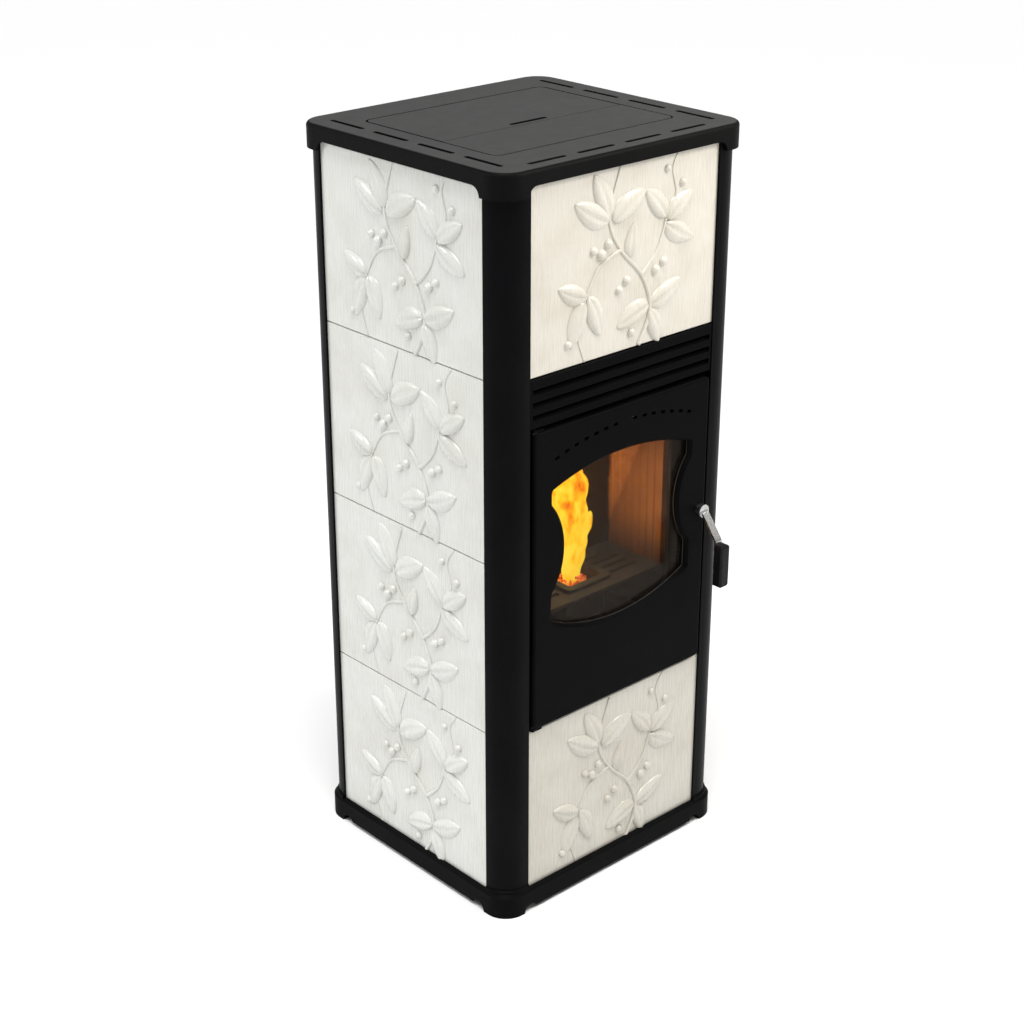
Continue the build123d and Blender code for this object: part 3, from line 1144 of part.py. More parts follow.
# Auger screw: one helical flight on a shaft
flight_r = (AUGER_R + AUGER_SHAFT_R - AUGER_ROOT) / 2
with BuildPart() as auger_screw:
    with BuildSketch(auger_plane.offset(-AUGER_SHAFT_IN)):
        Circle(AUGER_SHAFT_R)
    extrude(amount=AUGER_SHAFT_IN + auger_len)
    flight_from = auger_plane.offset(AUGER_START).origin
    with BuildLine():
        flight_line = Helix(
            AUGER_PITCH, auger_len - AUGER_START - AUGER_END, flight_r,
            center=flight_from, direction=auger_plane.z_dir)
    with BuildSketch(
            Plane(origin=flight_line @ 0, x_dir=flight_line @ 0 - flight_from, z_dir=flight_line % 0)):
        Rectangle(AUGER_R - AUGER_SHAFT_R + AUGER_ROOT, AUGER_FLIGHT)
    sweep(path=flight_line, is_frenet=True)
auger_screw.part.label = "auger_screw"
export_step(auger_screw.part, "parts/auger_screw.step")

# Gearmotor: gearbox and motor under the tube's lower end
with BuildPart() as auger_gearmotor:
    with BuildSketch(auger_plane):
        RectangleRounded(GEARBOX_W, GEARBOX_W, GEARBOX_R)
    extrude(amount=-GEARBOX_L)
    with BuildSketch(auger_plane.offset(-GEARBOX_L)):
        Circle(MOTOR_R)
    extrude(amount=-MOTOR_L)
    with BuildSketch(auger_plane):
        Circle(AUGER_SHAFT_R + RUN)
    extrude(amount=-(AUGER_SHAFT_IN + SLIDE), mode=Mode.SUBTRACT)
auger_gearmotor.part.label = "auger_gearmotor"
export_step(auger_gearmotor.part, "parts/auger_gearmotor.step")

# Chute: the head over the auger's end, and the slide through the jacket into the chamber
chute_half = TUNNEL_HALF - SLIDE
slide_rise = CHUTE_BOTTOM - CHUTE_TIP_LOW
slide_run = CHUTE_KNEE - CHUTE_TIP
slide_wall = SHEET * hypot(slide_rise, slide_run) / slide_run + slide_rise / slide_run * 2 * SHEET
with BuildPart() as pellet_chute:
    for inset, mode in ((0, Mode.ADD), (SHEET, Mode.SUBTRACT)):
        with BuildSketch(Plane.YZ.offset(inset - chute_half)):
            with BuildLine():
                Polyline(
                    (CHUTE_BACK, CHUTE_TOP), (CHUTE_FRONT, CHUTE_TOP), (CHUTE_FRONT, TUNNEL_HIGH - SLIDE),
                    (CHUTE_TIP, CHUTE_TIP_HIGH), (CHUTE_TIP, CHUTE_TIP_LOW), (CHUTE_KNEE, CHUTE_BOTTOM),
                    (CHUTE_BACK, CHUTE_BOTTOM), close=True)
            make_face()
            if mode is Mode.SUBTRACT:
                offset(amount=-SHEET, kind=Kind.INTERSECTION, mode=Mode.REPLACE)
                span(
                    CHUTE_TIP, CHUTE_TIP + 2 * SHEET,
                    CHUTE_TIP_LOW + slide_wall, CHUTE_TIP_HIGH - slide_wall)
        extrude(amount=2 * (chute_half - inset), mode=mode)
    with BuildSketch(auger_plane):
        Circle(TUBE_BORE_R + TUBE_SKIN + SEAT)
    extrude(amount=auger_len + SEAT, mode=Mode.SUBTRACT)
pellet_chute.part.label = "pellet_chute"
export_step(pellet_chute.part, "parts/pellet_chute.step")

# Smoke duct: a flat box from the downcomer's foot to the fan's inlet
fan_plane = Plane.YZ.offset(FAN_X)
duct_left = DOWN_LEFT - BOILER_WALL
with BuildPart() as smoke_duct:
    for inset, mode in ((0, Mode.ADD), (FAN_WALL, Mode.SUBTRACT)):
        with BuildSketch(Plane.YZ.offset(duct_left + inset)):
            with BuildLine():
                Polyline(
                    (boiler_back, EXIT_HIGH + FAN_WALL), (DUCT_BEND_Y, EXIT_HIGH + FAN_WALL),
                    (FAN_Y + INLET_R + DUCT_MARGIN, FAN_Z + INLET_R + DUCT_MARGIN),
                    (FAN_Y + INLET_R + DUCT_MARGIN, FAN_Z - INLET_R - DUCT_MARGIN),
                    (FAN_Y - INLET_R - DUCT_MARGIN, FAN_Z - INLET_R - DUCT_MARGIN),
                    (boiler_back, EXIT_LOW - FAN_WALL), close=True)
            make_face()
            if mode is Mode.SUBTRACT:
                offset(amount=-FAN_WALL, kind=Kind.INTERSECTION, mode=Mode.REPLACE)
                span(boiler_back, boiler_back + 2 * FAN_WALL, EXIT_LOW + SEAT, EXIT_HIGH - SEAT)
        extrude(amount=FAN_X - duct_left - 2 * inset, mode=mode)
    with BuildSketch(fan_plane):
        with Locations((FAN_Y, FAN_Z)):
            Circle(INLET_R)
    extrude(amount=-2 * FAN_WALL, mode=Mode.SUBTRACT)
smoke_duct.part.label = "smoke_duct"
export_step(smoke_duct.part, "parts/smoke_duct.step")

# Smoke fan's housing: a scroll with its outlet low down, towards the back
outlet_low = FAN_Z - FAN_R
outlet_high = outlet_low + OUTLET_H
flue_z = (outlet_low + outlet_high) / 2
flue_x = FAN_X + FAN_W / 2
with BuildPart() as fan_housing:
    for inset, mode in ((0, Mode.ADD), (FAN_WALL, Mode.SUBTRACT)):
        with BuildSketch(fan_plane.offset(inset)):
            with Locations((FAN_Y, FAN_Z)):
                Circle(FAN_R - inset)
            span(FAN_Y, FLUE_FROM, outlet_low + inset, outlet_high - inset)
        extrude(amount=FAN_W - 2 * inset, mode=mode)
    with BuildSketch(fan_plane):
        with Locations((FAN_Y, FAN_Z)):
            Circle(INLET_R)
    extrude(amount=FAN_WALL, mode=Mode.SUBTRACT)
    with BuildSketch(fan_plane.offset(FAN_W)):
        with Locations((FAN_Y, FAN_Z)):
            Circle(2 * FAN_SHAFT_R)
    extrude(amount=-FAN_WALL, mode=Mode.SUBTRACT)
fan_housing.part.label = "fan_housing"
export_step(fan_housing.part, "parts/fan_housing.step")

# Fan wheel: radial blades on a disc, with its shaft
with BuildPart() as fan_wheel:
    disc_x = (FAN_W + WHEEL_W) / 2
    with BuildSketch(fan_plane.offset(disc_x - FAN_WALL)):
        with Locations((FAN_Y, FAN_Z)):
            Circle(WHEEL_R)
    extrude(amount=FAN_WALL)
    with BuildSketch(fan_plane.offset(disc_x - WHEEL_W)):
        with Locations((FAN_Y, FAN_Z)):
            with PolarLocations((WHEEL_R + 2 * FAN_SHAFT_R) / 2, WHEEL_BLADES):
                Rectangle(WHEEL_R - 2 * FAN_SHAFT_R - SLIDE, FAN_WALL)
    extrude(amount=WHEEL_W - FAN_WALL)
    with BuildSketch(fan_plane.offset(disc_x - WHEEL_W)):
        with Locations((FAN_Y, FAN_Z)):
            Circle(2 * FAN_SHAFT_R + SLIDE)
    extrude(amount=WHEEL_W - FAN_WALL)
    with BuildSketch(fan_plane.offset(disc_x)):
        with Locations((FAN_Y, FAN_Z)):
            Circle(FAN_SHAFT_R)
    extrude(amount=FAN_W - disc_x + FAN_SHAFT_IN)
fan_wheel.part.label = "fan_wheel"
export_step(fan_wheel.part, "parts/fan_wheel.step")

# Fan motor: flanged to the housing's right face
with BuildPart() as fan_motor:
    with BuildSketch(fan_plane.offset(FAN_W)):
        with Locations((FAN_Y, FAN_Z)):
            Circle(FAN_MOTOR_R + FAN_FLANGE)
    extrude(amount=2 * FAN_WALL)
    with BuildSketch(fan_plane.offset(FAN_W)):
        with Locations((FAN_Y, FAN_Z)):
            Circle(FAN_MOTOR_R)
    extrude(amount=FAN_MOTOR_L)
    fillet(fan_motor.faces().sort_by(Axis.X)[-1].edges(), FAN_FLANGE)
    with BuildSketch(fan_plane.offset(FAN_W)):
        with Locations((FAN_Y, FAN_Z)):
            Circle(FAN_SHAFT_R + RUN)
    extrude(amount=FAN_SHAFT_IN + SLIDE, mode=Mode.SUBTRACT)
fan_motor.part.label = "fan_motor"
export_step(fan_motor.part, "parts/fan_motor.step")

# Flue spigot: leaves the casing through the rear panel
with BuildPart() as flue_spigot:
    with BuildSketch(Plane.XZ.offset(-FLUE_FROM)):
        with Locations((flue_x, flue_z)):
            RectangleRounded(2 * (FLUE_R + FLUE_LIP), 2 * (FLUE_R + FLUE_LIP), FLUE_LIP)
    extrude(amount=-2 * FLUE_WALL)
    with BuildSketch(Plane.XZ.offset(-FLUE_FROM)):
        with Locations((flue_x, flue_z)):
            Circle(FLUE_R)
    extrude(amount=FLUE_FROM - REAR_REACH)
    with BuildSketch(Plane.XZ.offset(-FLUE_FROM)):
        with Locations((flue_x, flue_z)):
            Circle(FLUE_R - FLUE_WALL)
    extrude(amount=FLUE_FROM - REAR_REACH, mode=Mode.SUBTRACT)
flue_spigot.part.label = "flue_spigot"
export_step(flue_spigot.part, "parts/flue_spigot.step")

# Air intake pipe: from the back of the casing through the jacket
with BuildPart() as air_intake_pipe:
    with BuildSketch(Plane.XZ.offset(-AIR_REACH)):
        with Locations((AIR_X, AIR_Z)):
            Circle(AIR_R)
            Circle(AIR_R - FLUE_WALL, mode=Mode.SUBTRACT)
    extrude(amount=AIR_REACH - CHAMBER_BACK)
    with BuildSketch(Plane.XZ.offset(-(front_back + SHEET + SEAT + AIR_BEAD_W))):
        with Locations((AIR_X, AIR_Z)):
            Circle(AIR_R + AIR_BEAD)
            Circle(AIR_R - FLUE_WALL / 2, mode=Mode.SUBTRACT)
    extrude(amount=AIR_BEAD_W)
air_intake_pipe.part.label = "air_intake_pipe"
export_step(air_intake_pipe.part, "parts/air_intake_pipe.step")

# Circulation pump: in line with the return
with BuildPart() as circulation_pump:
    pump_at = Plane.XZ.offset(-PUMP_Y)
    with BuildSketch(pump_at.offset(PUMP_L / 2)):
        with Locations((RETURN_X, PUMP_Z)):
            Circle(PUMP_R)
    extrude(amount=-PUMP_L)
    with Locations((RETURN_X, PUMP_Y, PUMP_Z)):
        Cylinder(PUMP_NECK_R, PUMP_H)
    for end in (-1, 1):
        with Locations((RETURN_X, PUMP_Y, PUMP_Z + end * (PUMP_H - PUMP_NUT) / 2)):
            Cylinder(PUMP_NECK_R + PUMP_NUT_LIP, PUMP_NUT)
    with BuildSketch(pump_at.offset(-PUMP_L / 2)):
        with Locations((RETURN_X, PUMP_Z)):
            RectangleRounded(PUMP_R, PUMP_R, PUMP_BOX_R)
    extrude(amount=-PUMP_NUT)
circulation_pump.part.label = "circulation_pump"
export_step(circulation_pump.part, "parts/circulation_pump.step")

# Expansion vessel: lies across, in its saddles
with BuildPart() as expansion_vessel:
    with Locations((VESSEL_X, VESSEL_Y, VESSEL_Z)):
        Cylinder(VESSEL_R, VESSEL_L, rotation=(0, 90, 0))
    fillet(expansion_vessel.edges().filter_by(GeomType.CIRCLE), VESSEL_DOME)
    with Locations((VESSEL_X - VESSEL_L / 2 - VESSEL_NECK / 2 + VESSEL_SUNK, VESSEL_Y, VESSEL_Z)):
        Cylinder(PIPE_R + VESSEL_NECK_WALL, VESSEL_NECK, rotation=(0, 90, 0))
expansion_vessel.part.label = "expansion_vessel"
export_step(expansion_vessel.part, "parts/expansion_vessel.step")

# Water pipes: flow down the left gap, return through the pump, drain, relief and expansion
vessel_end = VESSEL_X - VESSEL_L / 2 - VESSEL_NECK + VESSEL_SUNK
flow_gap_x = -(boiler_half + panel_in) / 2
fit_x = [RETURN_X - FITTING_PITCH + n * FITTING_PITCH for n in range(FITTINGS)]
PIPE_ROUTES = (
    ((FLOW_X, FLOW_Y, BOILER_TOP), (FLOW_X, FLOW_Y, BOILER_TOP + FLOW_RISE),
     (flow_gap_x, FLOW_Y, BOILER_TOP + FLOW_RISE), (flow_gap_x, FLOW_Y, FITTING_Z),
     (flow_gap_x, RISER_Y, FITTING_Z), (fit_x[0], RISER_Y + FITTING_PITCH, FITTING_Z),
     (fit_x[0], FITTING_FROM, FITTING_Z)),
    ((RETURN_X, FITTING_FROM, FITTING_Z), (RETURN_X, PUMP_Y, FITTING_Z),
     (RETURN_X, PUMP_Y, PUMP_Z - PUMP_H / 2)),
    ((RETURN_X, PUMP_Y, PUMP_Z + PUMP_H / 2), (RETURN_X, PUMP_Y, STUB_Z), (RETURN_X, boiler_back, STUB_Z)),
    ((DRAIN_X, FITTING_FROM, FITTING_Z), (DRAIN_X, RISER_Y, FITTING_Z), (DRAIN_X, RISER_Y, STUB_Z),
     (DRAIN_X, boiler_back, STUB_Z)),
    ((RELIEF_X, FITTING_FROM, FITTING_Z), (RELIEF_X, RISER_Y, FITTING_Z),
     (RELIEF_X, RISER_Y, STUB_Z - VALVE_R)),
    ((vessel_end, VESSEL_Y, VESSEL_Z), (flow_gap_x, VESSEL_Y, VESSEL_Z), (flow_gap_x, VESSEL_Y, STUB_Z),
     (-boiler_half, VESSEL_Y, STUB_Z)),
)
with BuildPart() as water_pipes:
    for route in PIPE_ROUTES:
        with BuildLine():
            pipe_line = FilletPolyline(*route, radius=PIPE_BEND)
        with BuildSketch(Plane(origin=pipe_line @ 0, z_dir=pipe_line % 0)):
            Circle(PIPE_R)
            Circle(PIPE_BORE, mode=Mode.SUBTRACT)
        sweep(path=pipe_line)
water_pipes.part.label = "water_pipes"
export_step(water_pipes.part, "parts/water_pipes.step")

# Rear fittings: four nipples with a nut on each side of the rear panel
with BuildPart() as rear_fittings:
    for x in fit_x:
        with BuildSketch(Plane.XZ.offset(-FITTING_FROM)):
            with Locations((x, FITTING_Z)):
                Circle(FITTING_R)
        extrude(amount=FITTING_FROM - FITTING_REACH)
        for nut_from, nut_to in ((front_back - SEAT, -NUT_H), (front_back + SHEET + SEAT, NUT_H)):
            with BuildSketch(Plane.XZ.offset(-nut_from)):
                with Locations((x, FITTING_Z)):
                    RegularPolygon(FITTING_R + NUT_LIP, 6)
            extrude(amount=-nut_to)
        with BuildSketch(Plane.XZ.offset(-FITTING_FROM)):
            with Locations((x, FITTING_Z)):
                Circle(PIPE_BORE)
        extrude(amount=FITTING_FROM - FITTING_REACH, mode=Mode.SUBTRACT)
rear_fittings.part.label = "rear_fittings"
export_step(rear_fittings.part, "parts/rear_fittings.step")

# Safety valve: on the relief stub, with a cap that is turned to test it
valve_top = STUB_Z + VALVE_R
with BuildPart() as safety_valve:
    with Locations((RELIEF_X, RISER_Y, STUB_Z)):
        Cylinder(VALVE_R, 2 * VALVE_R)
    with BuildSketch(Plane.XZ.offset(-boiler_back)):
        with Locations((RELIEF_X, STUB_Z)):
            Circle(PIPE_R + VALVE_ARM_WALL)
    extrude(amount=boiler_back - RISER_Y)
    with Locations((RELIEF_X, RISER_Y, valve_top)):
        Cylinder(VALVE_STEM_R, 2 * KNOB_H - 4 * SLIDE)
safety_valve.part.label = "safety_valve"
export_step(safety_valve.part, "parts/safety_valve.step")

with BuildPart() as safety_valve_knob:
    with BuildSketch(Plane.XY.offset(valve_top + SEAT)):
        with Locations((RELIEF_X, RISER_Y)):
            Circle(VALVE_R)
            with PolarLocations(VALVE_R + KNOB_NOTCH_R / 2, KNOB_NOTCHES):
                Circle(KNOB_NOTCH_R, mode=Mode.SUBTRACT)
    extrude(amount=KNOB_H)
    with Locations((RELIEF_X, RISER_Y, valve_top)):
        Cylinder(VALVE_STEM_R + RUN, 2 * KNOB_H - 2 * SLIDE, mode=Mode.SUBTRACT)
safety_valve_knob.part.label = "safety_valve_knob"
export_step(safety_valve_knob.part, "parts/safety_valve_knob.step")

# Control board: in a plastic case on the right side panel
with BuildPart() as control_board:
    block(
        panel_in - BOARD_THICK, panel_in, BOARD_FRONT, BOARD_FRONT + BOARD_W,
        BOARD_LOW, BOARD_LOW + BOARD_H)
    fillet(control_board.edges().filter_by(Axis.X), BOARD_ROUND)
    for n in range(BOARD_PLUGS):
        plug_z = BOARD_LOW + (n + 0.5) * BOARD_H / BOARD_PLUGS
        block(
            panel_in - BOARD_THICK - PLUG_OUT, panel_in - BOARD_THICK, BOARD_FRONT + BOARD_W - PLUG_IN,
            BOARD_FRONT + BOARD_W - PLUG_IN + PLUG_W, plug_z - PLUG_H / 2, plug_z + PLUG_H / 2)
control_board.part.label = "control_board"
export_step(control_board.part, "parts/control_board.step")

# Mains inlet: socket and switch in one frame, through the rear panel
inlet_face = front_back + SHEET + INLET_PLATE
socket_z = INLET_Z - INLET_H / 4 + SOCKET_RISE
rocker_z = INLET_Z + INLET_H / 4 + SOCKET_RISE
with BuildPart() as mains_inlet:
    with BuildSketch(Plane.XZ.offset(-(inlet_face - INLET_PLATE))):
        with Locations((INLET_X, INLET_Z)):
            RectangleRounded(INLET_W + 2 * INLET_LIP, INLET_H + 2 * INLET_LIP, INLET_LIP)
    extrude(amount=-INLET_PLATE)
    with BuildSketch(Plane.XZ.offset(-inlet_face)):
        with Locations((INLET_X, INLET_Z)):
            Rectangle(INLET_W, INLET_H)
    extrude(amount=INLET_DEPTH)
    with BuildSketch(Plane.XZ.offset(-inlet_face)):
        with Locations((INLET_X, socket_z)):
            RectangleRounded(SOCKET_W, SOCKET_H, SOCKET_CORNER)
        with Locations((INLET_X, rocker_z)):
            Rectangle(ROCKER_W + 2 * SEAT, ROCKER_H + 2 * SEAT)
    extrude(amount=SOCKET_DEPTH, mode=Mode.SUBTRACT)
    with BuildSketch(Plane.XZ.offset(-inlet_face + SOCKET_DEPTH)):
        with Locations((INLET_X, socket_z)):
            with Locations(*SOCKET_PINS):
                Rectangle(SOCKET_PIN_W, SOCKET_PIN_H)
    extrude(amount=-SOCKET_PIN_L)
mains_inlet.part.label = "mains_inlet"
export_step(mains_inlet.part, "parts/mains_inlet.step")

rocker_y = inlet_face - ROCKER_IN
with BuildPart() as mains_rocker:
    with BuildSketch(Plane.YZ.offset(INLET_X - ROCKER_W / 2)):
        with Locations((rocker_y, rocker_z)):
            Circle(ROCKER_H / 2)
        with BuildLine():
            dip_y = rocker_y + ROCKER_IN - ROCKER_DIP
            Polyline(
                (dip_y, rocker_z), (dip_y, rocker_z + ROCKER_H), (dip_y + ROCKER_H, rocker_z + ROCKER_H),
                (dip_y + ROCKER_H, rocker_z - ROCKER_H),
                (dip_y + ROCKER_H * tan(radians(ROCKER_DEG)), rocker_z - ROCKER_H), close=True)
        make_face(mode=Mode.SUBTRACT)
    extrude(amount=ROCKER_W)
mains_rocker.part.label = "mains_rocker"
export_step(mains_rocker.part, "parts/mains_rocker.step")

# Thermostat's reset button: in a bush through the rear panel
with BuildPart() as reset_bush:
    with BuildSketch(Plane.XZ.offset(-front_back + NUT_H)):
        with Locations((RESET_X, INLET_Z)):
            Circle(RESET_R + RESET_WALL)
    extrude(amount=-(2 * NUT_H + SHEET))
    with BuildSketch(Plane.XZ.offset(-(front_back + SHEET + SEAT))):
        with Locations((RESET_X, INLET_Z)):
            RegularPolygon(RESET_R + RESET_NUT_LIP, 6)
    extrude(amount=-(NUT_H - SEAT))
    with BuildSketch(Plane.XZ.offset(-(front_back + SHEET + NUT_H))):
        with Locations((RESET_X, INLET_Z)):
            Circle(RESET_R + RUN)
    extrude(amount=2 * NUT_H, mode=Mode.SUBTRACT)
reset_bush.part.label = "reset_bush"
export_step(reset_bush.part, "parts/reset_bush.step")

with BuildPart() as reset_button:
    with BuildSketch(Plane.XZ.offset(-(front_back + SHEET + NUT_H + RESET_OUT))):
        with Locations((RESET_X, INLET_Z)):
            Circle(RESET_R)
    extrude(amount=RESET_OUT + NUT_H)
    fillet(reset_button.faces().sort_by(Axis.Y)[-1].edges(), RESET_ROUND)
reset_button.part.label = "reset_button"
export_step(reset_button.part, "parts/reset_button.step")

# Rear panel: folded sheet in the rear posts' grooves, pierced for what passes through it
with BuildPart() as rear_panel:
    block(-front_tile_half, front_tile_half, front_back, front_back + SHEET, LEDGE_TOP, cap_bottom)
    for side_x in (-1, 1):
        block(
            side_x * front_tile_half, side_x * (front_tile_half - SHEET), front_back,
            front_face - SEAT, LEDGE_TOP, cap_bottom)
    with BuildSketch(Plane.XZ.offset(-(front_back + SHEET))):
        with Locations((flue_x, flue_z)):
            Circle(FLUE_R + SLIDE)
        with Locations((AIR_X, AIR_Z)):
            Circle(AIR_R + SEAT)
        with Locations(*[(x, FITTING_Z) for x in fit_x]):
            Circle(FITTING_R + SEAT)
        with Locations((INLET_X, INLET_Z)):
            Rectangle(INLET_W + 2 * SEAT, INLET_H + 2 * SEAT)
        with Locations((RESET_X, INLET_Z)):
            Circle(RESET_R + RESET_WALL + SEAT)
        for bank_z in VENT_BANKS:
            with Locations((0, bank_z)):
                with GridLocations(PANEL_SLOT_L + 2 * PANEL_SLOT_W, 2 * PANEL_SLOT_W, 3, PANEL_SLOTS):
                    SlotOverall(PANEL_SLOT_L, PANEL_SLOT_W)
    extrude(amount=SHEET, mode=Mode.SUBTRACT)
rear_panel.part.label = "rear_panel"
export_step(rear_panel.part, "parts/rear_panel.step")
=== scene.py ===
"""Looks of a tiled pellet stove: glazed tiles, cast black frame, fire behind an arched window.

Metres, +Z up, the door towards -Y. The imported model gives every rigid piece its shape. This
script gives each of them its finish, and adds the relief of the tiles, the fire, the fasteners
and the studio.
"""

import logging
import math
from dataclasses import dataclass
from enum import Enum
from typing import Any, Iterable, Sequence

import bmesh
import bpy
from mathutils import Euler, Matrix, Vector


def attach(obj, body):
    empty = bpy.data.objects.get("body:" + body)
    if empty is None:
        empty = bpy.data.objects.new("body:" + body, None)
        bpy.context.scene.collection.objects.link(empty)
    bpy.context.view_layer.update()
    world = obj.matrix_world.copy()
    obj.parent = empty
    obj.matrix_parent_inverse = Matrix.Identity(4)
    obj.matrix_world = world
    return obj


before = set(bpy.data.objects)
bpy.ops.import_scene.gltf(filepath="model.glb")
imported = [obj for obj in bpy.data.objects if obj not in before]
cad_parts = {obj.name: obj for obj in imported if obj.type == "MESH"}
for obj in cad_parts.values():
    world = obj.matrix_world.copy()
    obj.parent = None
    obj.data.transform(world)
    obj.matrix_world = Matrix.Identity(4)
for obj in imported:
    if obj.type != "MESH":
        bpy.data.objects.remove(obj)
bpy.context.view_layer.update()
log = logging.getLogger("stove")
Colour = tuple[float, float, float]
Spot = tuple[float, float, float]
BLACK = (0.0, 0.0, 0.0)
WHITE = (1.0, 1.0, 1.0)
EVEN = (1.0, 1.0, 1.0)
MM = 0.001
GOLDEN_TURN = 2.39996


class Grain(Enum):
    """How brush or turning marks lie, as factors on the coordinates."""

    UPRIGHT = (1.0, 1.0, 0.04)
    NONE = (1.0, 1.0, 1.0)


class Side(Enum):
    """A tiled side of the casing, as the way that it faces."""

    LEFT = (-1.0, 0.0, 0.0)
    RIGHT = (1.0, 0.0, 0.0)
    FRONT = (0.0, -1.0, 0.0)


class Value:
    """An output socket on which Python's operators add Math nodes."""

    def __init__(self, graph: "Graph", socket: bpy.types.NodeSocket) -> None:
        """Keep the socket and the graph that it belongs to."""
        self.graph = graph
        self.socket = socket

    def math(self, operation: str, *operands: Any) -> "Value":
        """Add one Math node.

        Args:
            operation: the node's operation.
            operands: its inputs in order, values or numbers.

        Returns:
            The node's result.
        """
        return self.graph.node("ShaderNodeMath", {"operation": operation}, dict(enumerate(operands)))

    def __add__(self, other: Any) -> "Value":
        """Sum of two values."""
        return self.math("ADD", self, other)

    def __radd__(self, other: Any) -> "Value":
        """Sum, with the number first."""
        return self.math("ADD", other, self)

    def __sub__(self, other: Any) -> "Value":
        """Difference of two values."""
        return self.math("SUBTRACT", self, other)

    def __rsub__(self, other: Any) -> "Value":
        """Difference, with the number first."""
        return self.math("SUBTRACT", other, self)

    def __mul__(self, other: Any) -> "Value":
        """Product of two values."""
        return self.math("MULTIPLY", self, other)

    def __rmul__(self, other: Any) -> "Value":
        """Product, with the number first."""
        return self.math("MULTIPLY", other, self)

    def __truediv__(self, other: Any) -> "Value":
        """Quotient of two values."""
        return self.math("DIVIDE", self, other)

    def between(self, low: float, high: float) -> "Value":
        """Rise smoothly from 0 to 1.

        Args:
            low: where it starts to rise.
            high: where it is 1.

        Returns:
            The result.
        """
        return self.graph.node(
            "ShaderNodeMapRange", {"interpolation_type": "SMOOTHSTEP"},
            {"Value": self, "From Min": low, "From Max": high})


